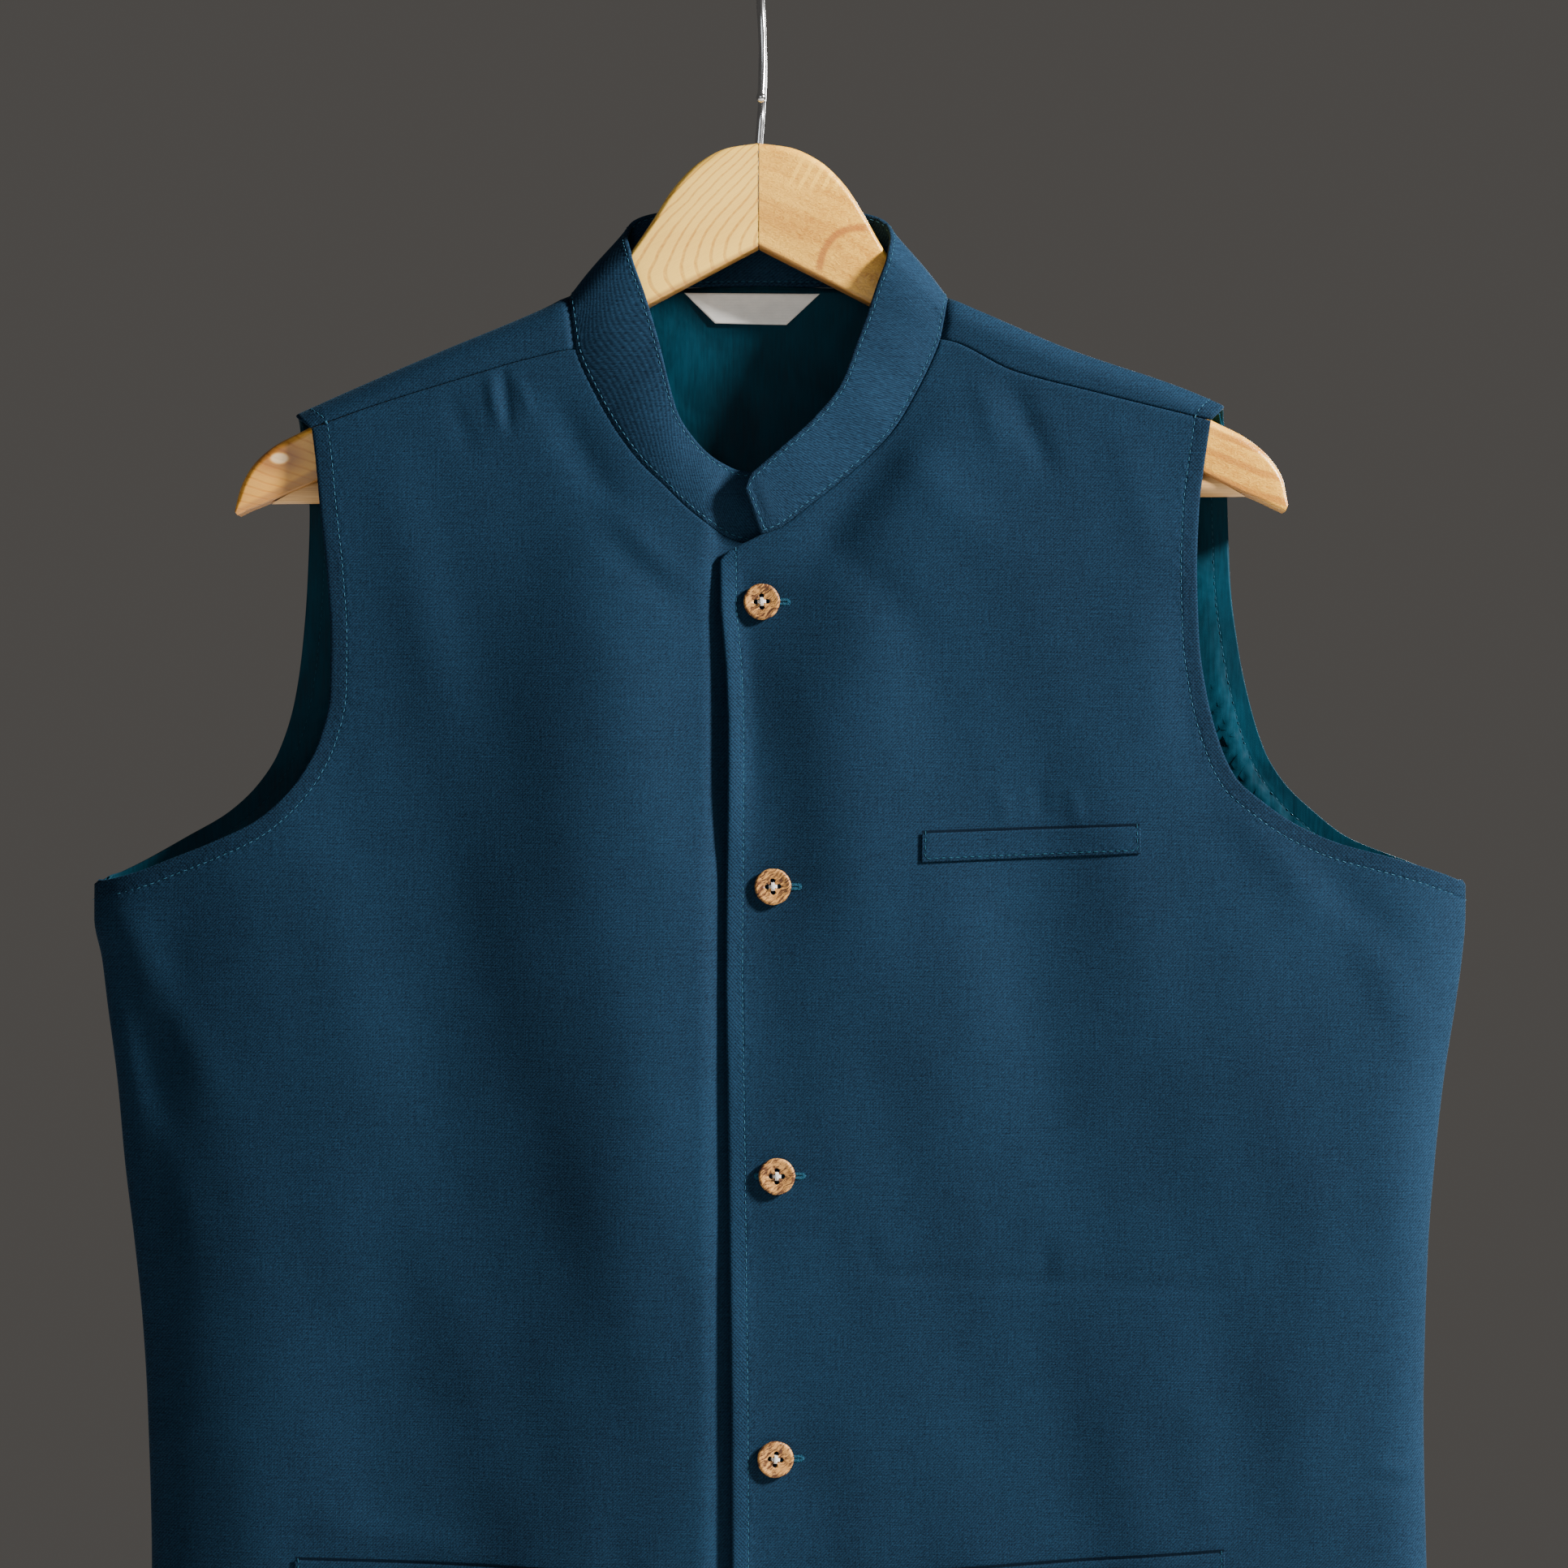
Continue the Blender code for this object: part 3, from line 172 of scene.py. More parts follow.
# Buttons
BUTTON_DIAMETER = 15.1
BUTTON_HOLE = 2.15
BUTTON_HOLE_RING = 2.35
BUTTON_STAND = 2.1
BUTTON_SIDES = 64
BUTTON_HOLE_SIDES = 16
BUTTON_STRANDS = 3
BUTTON_STRAND_WIDTH = 0.5

# Hanger
ARM_THICKNESS = 14.0
ARM_EDGE_ROUND = 3.6
ARM_ROUND_LIMIT = 0.45
ARM_UNDER_ROUND = 0.35
BAR_DIAMETER = 11.0
BAR_SIDES = 48
BAR_DROP_LEFT = 212.2
BAR_DROP_RIGHT = 209.1
BAR_CUT_SLOPE = 1.9
HOOK_WIRE = 3.3
HOOK_TIP = 4.2
HOOK_RADIUS = 23.0
HOOK_FOOT_DROP = 66.6
HOOK_BOW = 1.7
HOOK_TURN_STEPS = 12
HOOK_ROUTE_STEPS = 6
HOOK_SIDES = 20

# The wire's route beside its round turn: y and drop, up the stem and down the free end.
HOOK_STEM = ((0.0, 60.0), (0.6, 54.0), (4.2, 48.0), (10.6, 42.0), (17.0, 35.6), (21.4, 28.6))
HOOK_END = ((-23.2, 28.0), (-24.0, 36.0), (-25.2, 44.0), (-26.6, 51.4))


def table(columns, *rows):
    """Named columns of numbers from a few rows."""
    values = np.array(rows, float)
    return {name: values[:, i] for i, name in enumerate(columns.split())}


def smooth_curve(x, y):
    """A monotone cubic through the points of one table column."""
    x = np.asarray(x, float)
    y = np.asarray(y, float)
    step = np.diff(x)
    slope = np.diff(y) / step
    tangent = np.zeros_like(y)
    tangent[0] = slope[0]
    tangent[-1] = slope[-1]
    for i in range(1, len(x) - 1):
        if slope[i - 1] * slope[i] > 0.0:
            w1 = 2.0 * step[i] + step[i - 1]
            w2 = step[i] + 2.0 * step[i - 1]
            tangent[i] = (w1 + w2) / (w1 / slope[i - 1] + w2 / slope[i])

    def value(at):
        at = np.clip(np.asarray(at, float), x[0], x[-1])
        i = np.clip(np.searchsorted(x, at, side="right") - 1, 0, len(x) - 2)
        t = (at - x[i]) / step[i]
        t2 = t * t
        t3 = t2 * t
        return ((2.0 * t3 - 3.0 * t2 + 1.0) * y[i] + (t3 - 2.0 * t2 + t) * step[i] * tangent[i]
                + (3.0 * t2 - 2.0 * t3) * y[i + 1] + (t3 - t2) * step[i] * tangent[i + 1])

    return value


def smoothstep(value):
    t = np.clip(value, 0.0, 1.0)
    return t * t * (3.0 - 2.0 * t)


def unit(vectors):
    return vectors / np.maximum(np.linalg.norm(vectors, axis=-1, keepdims=True), 1e-9)


def stack(x, y, drop):
    x, y, drop = np.broadcast_arrays(x, y, drop)
    return np.stack([x, y, -drop], axis=-1)


# Armhole edges and side seams, seen from the front: a row for each height.
FRONT_EDGE = table(
    "drop left right",
    (183.0, -186.6, 188.4),
    (204.0, -184.0, 185.2),
    (219.0, -182.6, 183.3),
    (246.0, -179.7, 182.2),
    (275.0, -178.0, 183.0),
    (297.0, -178.3, 186.0),
    (316.0, -182.4, 190.8),
    (332.0, -190.5, 197.9),
    (343.0, -200.0, 210.2),
    (351.0, -210.0, 222.0),
    (359.0, -226.6, 239.5),
    (366.0, -244.5, 265.0),
    (371.5, -259.0, 283.0),
    (UNDERARM_DROP, -278.1, 295.8),
)
BACK_EDGE = table(
    "drop left right",
    (176.5, -194.0, 195.0),
    (190.0, -193.0, 196.6),
    (220.0, -189.4, 197.5),
    (250.0, -190.4, 198.7),
    (278.0, -192.7, 202.3),
    (300.0, -196.1, 207.0),
    (322.0, -203.2, 214.2),
    (335.0, -211.6, 222.5),
    (347.0, -224.4, 235.0),
    (357.0, -241.4, 248.0),
    (368.0, -260.9, 275.0),
    (UNDERARM_DROP, -278.1, 295.8),
)
SIDE_SEAM = table(
    "drop left right",
    (UNDERARM_DROP, -278.1, 295.8),
    (391.0, -278.1, 295.6),
    (408.0, -274.8, 294.1),
    (425.0, -272.7, 291.7),
    (459.0, -268.3, 286.3),
    (493.0, -265.2, 282.5),
    (527.0, -261.1, 279.8),
    (561.0, -257.7, 278.5),
    (595.0, -255.7, 277.8),
    (663.0, -254.0, 279.1),
    (740.0, -254.6, 281.5),
    (HEM_DROP, -256.0, 285.0),
)

# The top line of the shoulders, with the back neck seam in its middle.
RIDGE = table(
    "x drop",
    (-194.0, 180.4),
    (-170.0, 169.6),
    (-131.0, 152.7),
    (-89.4, 135.4),
    (-79.2, 130.5),
    (-60.0, 127.2),
    (-28.0, 125.4),
    (0.0, 125.0),
    (28.0, 125.4),
    (60.0, 127.4),
    (79.2, 131.3),
    (90.8, 136.0),
    (130.0, 152.7),
    (179.0, 169.6),
    (195.0, 176.5),
)
NECK_POINT = 79.2

# The shoulder seams, on the front of the shoulders.
SHOULDER_SEAM = table(
    "x drop",
    (-186.6, 186.6),
    (-160.6, 177.3),
    (-130.2, 167.8),
    (-93.0, 157.0),
    (-76.0, 153.6),
    (75.5, 149.6),
    (106.6, 162.8),
    (140.4, 171.6),
    (188.4, 183.4),
)
SHOULDER_SEAM_NECK_LEFT = 4
SHOULDER_SEAM_NECK_RIGHT = 5

# Half depths of the hollow body: its front and back at the middle of each height.
DEPTH = table(
    "drop front back",
    (125.0, 10.3, 14.5),
    (150.0, 10.6, 13.2),
    (187.0, 13.0, 13.3),
    (235.0, 16.5, 15.0),
    (300.0, 20.0, 17.5),
    (376.0, 25.0, 21.0),
    (450.0, 28.0, 24.0),
    (600.0, 28.0, 25.0),
    (700.0, 27.0, 24.0),
    (HEM_DROP, 26.0, 23.0),
)

# The collar, a station for each row: its seam on the neckline and its free top edge.
COLLAR = table(
    "seam_x seam_drop top_x top_drop top_y",
    (4.0, 236.5, 3.0, 205.0, -9.0),
    (-10.0, 233.2, -8.0, 204.0, -10.0),
    (-20.5, 227.1, -15.0, 201.0, -11.4),
    (-30.0, 219.6, -21.5, 196.5, -12.8),
    (-39.0, 210.8, -27.5, 190.0, -14.0),
    (-49.0, 201.0, -33.0, 181.5, -14.8),
    (-59.0, 187.7, -37.0, 169.0, -15.2),
    (-67.8, 172.5, -41.2, 152.0, -15.0),
    (-76.0, 153.6, -47.2, 131.5, -14.4),
    (-77.6, 142.0, -53.0, 115.0, -12.2),
    (-79.2, 130.5, -55.4, 105.0, 0.0),
    (-68.0, 128.2, -54.0, 98.4, 9.0),
    (-45.0, 126.1, -43.0, 93.8, 14.6),
    (-20.0, 125.2, -20.0, 92.0, 17.0),
    (0.0, 125.0, 0.0, 91.6, 17.4),
    (20.0, 125.2, 20.0, 92.0, 17.0),
    (45.0, 126.2, 43.0, 93.8, 14.6),
    (68.0, 128.7, 54.2, 98.4, 9.0),
    (79.2, 131.3, 55.4, 105.0, 0.0),
    (77.35, 140.45, 53.6, 115.0, -12.4),
    (75.5, 149.6, 49.6, 126.0, -14.8),
    (71.8, 159.0, 45.6, 138.0, -15.6),
    (66.0, 170.7, 40.6, 151.5, -16.4),
    (55.8, 187.7, 34.2, 168.5, -17.6),
    (38.9, 204.7, 23.4, 182.5, -19.2),
    (22.0, 218.3, 10.4, 194.5, -20.6),
    (8.5, 228.5, 0.2, 203.4, -21.4),
    (4.4, 230.2, -3.4, 206.8, -21.6),
    (1.1, 231.2, -5.6, 212.6, -21.6),
)
COLLAR_LEFT_SEAM = 8.0
COLLAR_LEFT_RIDGE = 10.0
COLLAR_RIGHT_RIDGE = 18.0
COLLAR_RIGHT_SEAM = 20.0
COLLAR_END = 28.0
COLLAR_BULGE = 1.2
COLLAR_ROWS = (0.0, 0.008, 0.02, 0.045, 0.08, 0.14, 0.22, 0.32, 0.43, 0.54, 0.65, 0.76, 0.85, 0.92,
               0.955, 0.98, 0.992, 1.0)
COLLAR_STEP = 0.1
COLLAR_START_STATION = 14.5
COLLAR_END_STATION = 5.0
COLLAR_WAVE = 0.12

# The rows of each front: where its outer edge lies, and where its inner edge does.
# A station is a place on the collar's seam; past the collar the edge has a place of its own.
UNDERLAP_ROWS = table(
    "outer_drop station inner_x inner_drop",
    (186.6, 8.0, 0.0, 0.0),
    (201.0, 7.0, 0.0, 0.0),
    (215.0, 6.0, 0.0, 0.0),
    (231.0, 5.0, 0.0, 0.0),
    (248.0, 4.0, 0.0, 0.0),
    (266.0, 3.0, 0.0, 0.0),
    (285.0, 2.0, 0.0, 0.0),
    (303.0, 1.0, 0.0, 0.0),
    (319.0, 0.0, 0.0, 0.0),
    (332.0, -1.0, 24.0, 238.5),
    (343.0, -1.0, 24.0, 262.0),
    (351.0, -1.0, 24.0, 286.0),
    (359.0, -1.0, 24.0, 308.0),
    (366.0, -1.0, 24.0, 330.0),
    (371.5, -1.0, 24.0, 350.0),
    (UNDERARM_DROP, -1.0, 24.0, 368.0),
    (391.0, -1.0, 24.0, 388.0),
    (420.0, -1.0, 24.0, 420.0),
    (HEM_DROP, -1.0, 24.0, HEM_DROP),
)
OVERLAP_ROWS = table(
    "outer_drop station inner_x inner_drop",
    (183.4, 20.0, 0.0, 0.0),
    (200.0, 21.0, 0.0, 0.0),
    (215.0, 22.0, 0.0, 0.0),
    (231.0, 23.0, 0.0, 0.0),
    (248.0, 24.0, 0.0, 0.0),
    (266.0, 25.0, 0.0, 0.0),
    (285.0, 26.0, 0.0, 0.0),
    (303.0, 28.0, 0.0, 0.0),
    (319.0, -1.0, -12.6, 238.0),
    (332.0, -1.0, -16.2, 241.6),
    (343.0, -1.0, -15.8, 262.0),
    (351.0, -1.0, -13.6, 286.0),
    (359.0, -1.0, -12.7, 308.0),
    (366.0, -1.0, -12.6, 330.0),
    (371.5, -1.0, -12.8, 350.0),
    (UNDERARM_DROP, -1.0, -13.0, 368.0),
    (391.0, -1.0, -13.2, 388.0),
    (420.0, -1.0, -13.4, 420.0),
    (490.0, -1.0, -12.3, 490.0),
    (600.0, -1.0, -11.0, 600.0),
    (740.0, -1.0, -10.6, 740.0),
    (HEM_DROP, -1.0, -11.0, HEM_DROP),
)

# How far the overlap's front edge stands off the underlap, which sets the width of its shadow.
EDGE_LIFTS = table(
    "drop lift",
    (0.0, 0.4),
    (236.0, 0.5),
    (264.0, 2.6),
    (330.0, 3.4),
    (352.0, 2.2),
    (372.0, 0.5),
    (440.0, 0.25),
    (500.0, 0.3),
    (545.0, 0.9),
    (620.0, 0.9),
    (680.0, 1.2),
    (740.0, 0.7),
    (HEM_DROP, 0.9),
)

# The back: how its columns spread from the top line to the underarm, and its rows.
BACK_TOP_SHARES = (0.0, 0.0162, 0.0541, 0.0973, 0.1405, 0.1838, 0.227, 0.2703, 0.3, 0.3304, 0.38, 0.46,
                   0.5)
BACK_LOWER_SHARES = (0.0, 0.004, 0.016, 0.045, 0.09, 0.15, 0.215, 0.275, 0.305, 0.34, 0.38, 0.44, 0.5)
BACK_SPREAD_END = 0.9
BACK_WRAP_SHARES = (1.0, 0.985, 0.96, 0.92, 0.8, 0.66, 0.52, 0.38, 0.26, 0.16, 0.08, 0.03)
BACK_COLUMN_GAP = 0.003
BACK_NECK_HOLD = 0.3

# Soft folds of the cloth, seen from the front or from the back: height is outwards.
FOLDS = table(
    "side x top_drop end_drop half_width height lean",
    (-1, -60, 195, 700, 38, 3.6, 0.06),
    (-1, -142, 205, 860, 44, -4.4, -0.01),
    (-1, -212, 400, 860, 20, 1.6, 0.0),
    (-1, -244, 350, 640, 13, -3.0, -0.04),
    (-1, 42, 225, 470, 26, 1.8, -0.03),
    (-1, 108, 230, 600, 28, -2.8, 0.05),
    (-1, 142, 620, 880, 30, -2.6, 0.0),
    (-1, 238, 400, 880, 34, 5.6, 0.0),
    (1, -190, 380, 860, 26, 3.0, -0.03),
    (1, -120, 330, 860, 24, -3.2, -0.02),
    (1, -30, 420, 860, 26, 2.2, 0.0),
    (1, 60, 380, 860, 24, -2.8, 0.02),
    (1, 150, 400, 860, 28, 2.8, 0.03),
    (1, 236, 420, 700, 14, -2.4, 0.03),
)

# Creases placed one by one, each along a line seen from the front or the back.
CREASES = table(
    "side x1 drop1 x2 drop2 half_width height",
    (-1, -66, 260, -60, 590, 38.0, 4.4),
    (-1, -170, 300, -170, 760, 34.0, 0.9),
    (-1, 277, 430, 277, 844, 24.0, 12.0),
    (-1, 62, 184, 24, 238, 11.0, -3.4),
    (-1, -4, 226, -24, 336, 30.0, -4.4),
    (-1, 64, 212, 26, 330, 32.0, 3.0),
    (-1, 4, 340, 4, 420, 16.0, -0.8),
    (-1, -112, 166, -109, 184, 2.6, 0.9),
    (-1, -106, 164, -104, 186, 2.2, -0.9),
    (-1, -99, 168, -96, 180, 2.4, 0.5),
    (-1, -128, 176, -120, 196, 5.0, -0.6),
    (-1, -84, 178, -60, 222, 8.0, -1.5),
    (-1, -68, 214, -38, 246, 6.0, 0.8),
    (-1, -60, 236, -30, 262, 7.0, -0.9),
    (-1, -150, 210, -132, 300, 12.0, 0.9),
    (-1, -264, 390, -232, 452, 8.0, 1.6),
    (-1, -268, 408, -248, 468, 6.0, -1.6),
    (-1, -250, 470, -236, 520, 9.0, 1.2),
    (-1, -262, 540, -236, 548, 7.0, -0.8),
    (-1, -258, 610, -238, 604, 6.0, 0.8),
    (-1, 106, 172, 120, 202, 5.0, -1.1),
    (-1, 92, 168, 100, 196, 5.0, 0.6),
    (-1, 60, 196, 96, 236, 10.0, 0.9),
    (-1, 30, 232, 64, 270, 9.0, -0.9),
    (-1, 150, 188, 164, 240, 9.0, 0.7),
    (-1, 176, 260, 178, 320, 8.0, -0.7),
    (-1, 196, 344, 232, 384, 9.0, 1.0),
    (-1, 232, 372, 270, 404, 8.0, -1.1),
    (-1, 252, 400, 272, 440, 8.0, 1.0),
    (-1, 262, 614, 276, 612, 3.0, -1.2),
    (-1, 256, 624, 274, 627, 2.6, -1.4),
    (-1, 254, 618, 274, 620, 3.2, 0.9),
    (-1, 164, 600, 168, 640, 14.0, -0.8),
    (-1, 180, 604, 186, 650, 9.0, 0.4),
    (-1, 100, 338, 102, 350, 3.0, 0.5),
    (-1, 116, 336, 118, 349, 3.4, -0.5),
    (-1, 130, 338, 132, 350, 3.0, 0.5),
    (-1, 44, 520, 46, 533, 1.5, -0.55),
    (-1, 46, 533, 52, 537, 1.5, -0.55),
    (-1, 52, 537, 92, 539, 1.5, -0.75),
    (-1, 92, 539, 182, 543, 1.5, -0.8),
    (-1, 118, 525, 119, 540, 4.0, -0.6),
    (-1, -188, 640, -120, 652, 7.0, 0.8),
    (-1, -60, 640, -50, 700, 9.0, -0.8),
    (-1, 40, 650, 60, 720, 9.0, 0.8),
    (-1, -200, 700, -190, 800, 12.0, 1.4),
    (-1, 200, 690, 208, 800, 14.0, -1.2),
    (1, -150, 190, -128, 262, 10.0, 1.2),
    (1, -96, 168, -84, 250, 12.0, -1.2),
    (1, 92, 168, 84, 246, 12.0, -1.2),
    (1, 150, 188, 132, 262, 10.0, 1.1),
    (1, -60, 150, -20, 190, 12.0, 0.9),
    (1, 60, 152, 24, 196, 12.0, 0.9),
    (1, -246, 380, -206, 446, 10.0, 1.6),
    (1, -262, 404, -236, 470, 8.0, -1.5),
    (1, 256, 384, 214, 452, 10.0, 1.6),
    (1, 272, 410, 248, 480, 8.0, -1.4),
    (1, -20, 330, 10, 470, 20.0, -1.0),
    (1, 110, 560, 96, 780, 16.0, 1.4),
    (1, -90, 600, -104, 800, 16.0, 1.4),
    (1, 200, 620, 196, 760, 12.0, -1.2),
    (1, -214, 600, -206, 740, 12.0, -1.2),
)

# Slow uneven waves of the cloth: length and direction of each wave, its height and its phase.
RIPPLES = table(
    "x_per_turn drop_per_turn height phase",
    (190.0, 410.0, 0.7, 0.4),
    (-130.0, 260.0, 0.5, 1.9),
    (84.0, -210.0, 0.28, 3.3),
    (61.0, 340.0, 0.2, 5.1),
    (-37.0, 120.0, 0.1, 2.2),
)

# Hanger arms: each row is a station, with a point of the top edge and one of the under edge.
ARM_LEFT = table(
    "top_x top_drop under_x under_drop",
    (0.0, 67.0, 0.0, 110.5),
    (-13.0, 69.0, -8.0, 114.7),
    (-25.0, 75.0, -18.0, 120.0),
    (-36.0, 86.2, -30.0, 126.4),
    (-44.5, 99.5, -42.0, 132.8),
    (-52.4, 111.0, -54.0, 139.1),
    (-63.0, 124.5, -66.0, 145.5),
    (-79.0, 136.0, -82.0, 154.0),
    (-93.0, 142.2, -97.0, 162.0),
    (-131.0, 157.6, -134.0, 181.6),
    (-169.0, 175.6, -168.0, 199.7),
    (-190.0, 187.0, -186.0, 209.2),
    (-203.4, 194.2, -198.0, 214.3),
    (-212.4, 203.0, -207.0, 218.0),
    (-217.2, 213.0, -213.4, 220.6),
    (-218.8, 221.2, -217.6, 222.6),
)
ARM_RIGHT = table(
    "top_x top_drop under_x under_drop",
    (0.0, 67.0, 0.0, 110.5),
    (13.0, 68.8, 8.0, 114.6),
    (25.0, 74.2, 18.0, 119.7),
    (36.0, 84.6, 30.0, 125.8),
    (44.5, 97.8, 42.0, 132.0),
    (52.0, 111.0, 54.0, 138.1),
    (63.0, 124.5, 66.0, 144.2),
    (79.0, 136.4, 82.0, 152.4),
    (93.0, 142.0, 97.0, 160.1),
    (131.0, 157.8, 134.0, 179.0),
    (171.0, 172.2, 168.0, 196.4),
    (190.0, 183.2, 186.0, 205.4),
    (203.0, 189.8, 200.0, 212.4),
    (213.0, 198.0, 210.0, 216.6),
    (219.2, 208.0, 216.6, 219.8),
    (221.0, 218.2, 219.8, 221.2),
)
UNDER_EDGE_DROP = 110.5
UNDER_EDGE_SLOPE = 0.51
ARM_SMOOTHING = 5
ARM_QUARTER_POINTS = 7

BUTTONS = table(
    "x drop hole_start",
    (1.2, 259.3, -5.0),
    (5.9, 377.4, -5.0),
    (7.5, 496.5, -8.9),
    (6.9, 613.2, -5.0),
    (6.2, 731.7, -5.0),
)

# Half of a button's outline: how far in from its edge, and how high above its middle.
BUTTON_PROFILE = table(
    "inset height",
    (7.55, -1.4),
    (4.0, -1.4),
    (1.4, -1.4),
    (0.5, -1.1),
    (0.1, -0.6),
    (0.0, 0.0),
    (0.12, 0.6),
    (0.35, 0.95),
    (0.7, 1.1),
    (1.2, 1.12),
    (1.8, 1.0),
    (2.3, 0.86),
    (2.9, 0.8),
    (4.2, 0.6),
    (7.55, 0.56),
)

# Welts and label: the corners, outer end first.
WELTS = {
    "chest_welt": ((67.4, 355.3), (158.0, 352.3), (67.2, 367.4), (158.2, 363.7)),
    "hip_welt_right": ((-192.0, 655.8), (-44.0, 661.0), (-192.0, 669.8), (-44.0, 675.0)),
    "hip_welt_left": ((45.0, 661.8), (192.6, 652.2), (45.0, 675.8), (192.6, 666.2)),
}
LABEL_CORNERS = ((-31.5, 128.0), (25.6, 128.4), (-18.5, 141.0), (11.6, 141.6))

# Flat cuts of the sheets in metres: width, length and area of what shows.
CUTS = {
    "front_right": (0.310, 0.690, 0.178),
    "front_left": (0.318, 0.690, 0.184),
    "back": (0.585, 0.745, 0.362),
    "back_lining": (0.565, 0.700, 0.342),
    "collar": (0.440, 0.036, 0.0133),
    "chest_welt": (0.091, 0.013, 0.0011),
    "hip_welt_right": (0.149, 0.015, 0.0021),
    "hip_welt_left": (0.149, 0.015, 0.0021),
    "label": (0.058, 0.014, 0.00058),
}


# Camera, lights and floor

def link(item):
    bpy.context.scene.collection.objects.link(item)
    return item


def make_camera():
    data = bpy.data.cameras.new("camera")
    data.sensor_width = SENSOR_WIDTH
    data.lens = data.sensor_width * CAMERA_DISTANCE / VIEW_WIDTH
    camera = link(bpy.data.objects.new("camera", data))
    camera.location = Vector((CAMERA_RIGHT, -CAMERA_DISTANCE, -CAMERA_DROP)) * MM
    camera.rotation_euler = (math.pi / 2.0, 0.0, 0.0)
    bpy.context.scene.camera = camera


def make_light(name, place, size, watts, colour):
    data = bpy.data.lights.new(name, "AREA")
    data.shape = "DISK"
    data.size = size
    data.energy = watts
    data.color = colour
    light = link(bpy.data.objects.new(name, data))
    light.location = place
    toward = Vector(LIGHT_TARGET) - Vector(place)
    light.rotation_euler = toward.to_track_quat("-Z", "Y").to_euler()


def make_studio():
    for name, (place, size, watts, colour) in LIGHTS.items():
        make_light(name, place, size, watts, colour)
    world = bpy.data.worlds.new("studio")
    world.use_nodes = True
    background = world.node_tree.nodes["Background"]
    background.inputs["Color"].default_value = BACKDROP_COLOUR
    background.inputs["Strength"].default_value = BACKDROP_STRENGTH
    bpy.context.scene.world = world


def make_floor():
    bm = bmesh.new()
    bmesh.ops.create_circle(bm, cap_ends=True, segments=96, radius=FLOOR_RADIUS * MM)
    bmesh.ops.translate(bm, verts=bm.verts[:], vec=(0.0, 0.0, -FLOOR_DROP * MM))
    mesh = bpy.data.meshes.new("floor")
    bm.to_mesh(mesh)
    bm.free()
    floor = link(bpy.data.objects.new("floor", mesh))
    finish = Finish("floor_paint", 0.8)
    speckle = finish.noise(finish.place(), 0.02, 3.0)
    finish.paint(finish.mix(speckle, (0.62, 0.60, 0.57), (0.68, 0.66, 0.63)))
    mesh.materials.append(finish.material)


# Finishes

def arithmetic(operation, reflected=False):
    """One operator of Value, as a Math node."""
    def apply(self, other):
        values = (other, self) if reflected else (self, other)
        return self.finish.math(operation, *values)
    return apply


class Value:
    """One number or colour of a finish, which can be used in sums."""

    __add__ = arithmetic("ADD")
    __radd__ = arithmetic("ADD", True)
    __sub__ = arithmetic("SUBTRACT")
    __rsub__ = arithmetic("SUBTRACT", True)
    __mul__ = arithmetic("MULTIPLY")
    __rmul__ = arithmetic("MULTIPLY", True)
    __truediv__ = arithmetic("DIVIDE")
    __rtruediv__ = arithmetic("DIVIDE", True)
    __pow__ = arithmetic("POWER")
    __rpow__ = arithmetic("POWER", True)

    def __init__(self, finish, socket):
        self.finish = finish
        self.socket = socket

    def __abs__(self):
        return self.finish.math("ABSOLUTE", self)


class Finish:
    """A procedural material and the nodes that make it."""

    def __init__(self, name, roughness, constants=None):
        self.material = bpy.data.materials.new(name)
        self.material.use_nodes = True
        self.tree = self.material.node_tree
        self.shader = self.tree.nodes["Principled BSDF"]
        self.shader.inputs["Roughness"].default_value = roughness
        for socket, value in (constants or {}).items():
            self.shader.inputs[socket].default_value = value

    def feed(self, socket, value):
        if isinstance(value, Value):
            self.tree.links.new(value.socket, socket)
        elif isinstance(value, tuple) and socket.type == "RGBA":
            socket.default_value = (*value, 1.0)
        else:
            socket.default_value = value

    def node(self, kind, settings, inputs, output=0):
        """Any node: its settings first, then the values or links of its sockets."""
        node = self.tree.nodes.new("ShaderNode" + kind)
        for name, value in settings.items():
            setattr(node, name, value)
        for key, value in inputs.items():
            self.feed(node.inputs[key], value)
        return Value(self, node.outputs[output])

    def math(self, operation, *values):
        return self.node("Math", {"operation": operation}, dict(enumerate(values)))

    def sine(self, value):
        return self.math("SINE", value)

    def rise(self, value, start, end):
        """From 0 at start to 1 at end, smoothly."""
        return self.node("MapRange", {"interpolation_type": "SMOOTHSTEP"}, {0: value, 1: start, 2: end})

    def vector(self, x, y, z):
        return self.node("CombineXYZ", {}, {0: x, 1: y, 2: z})

    def split(self, vector):
        return [self.node("SeparateXYZ", {}, {0: vector}, output=k) for k in range(3)]

    def place(self):
        """The piece's own coordinates in millimetres."""
        inside = self.node("TexCoord", {}, {}, output="Object")
        return self.node("VectorMath", {"operation": "SCALE"}, {0: inside, "Scale": 1.0 / MM})

    def attribute(self, name):
        return self.node("Attribute", {"attribute_name": name}, {}, output="Vector")

    def noise(self, vector, scale, detail=2.0, distortion=0.0):
        inputs = {"Vector": vector, "Scale": scale, "Detail": detail, "Distortion": distortion}
        return self.node("TexNoise", {}, inputs)

    def mix(self, share, first, second):
        return self.node("Mix", {"data_type": "RGBA"}, {0: share, 6: first, 7: second}, output=2)

    def paint(self, colour):
        self.feed(self.shader.inputs["Base Color"], colour)

    def polish(self, roughness):
        self.feed(self.shader.inputs["Roughness"], roughness)

    def relief(self, height):
        """Small relief; its height is in millimetres."""
        normal = self.node("Bump", {}, {"Strength": 1.0, "Distance": MM, "Height": height})
        self.feed(self.shader.inputs["Normal"], normal)


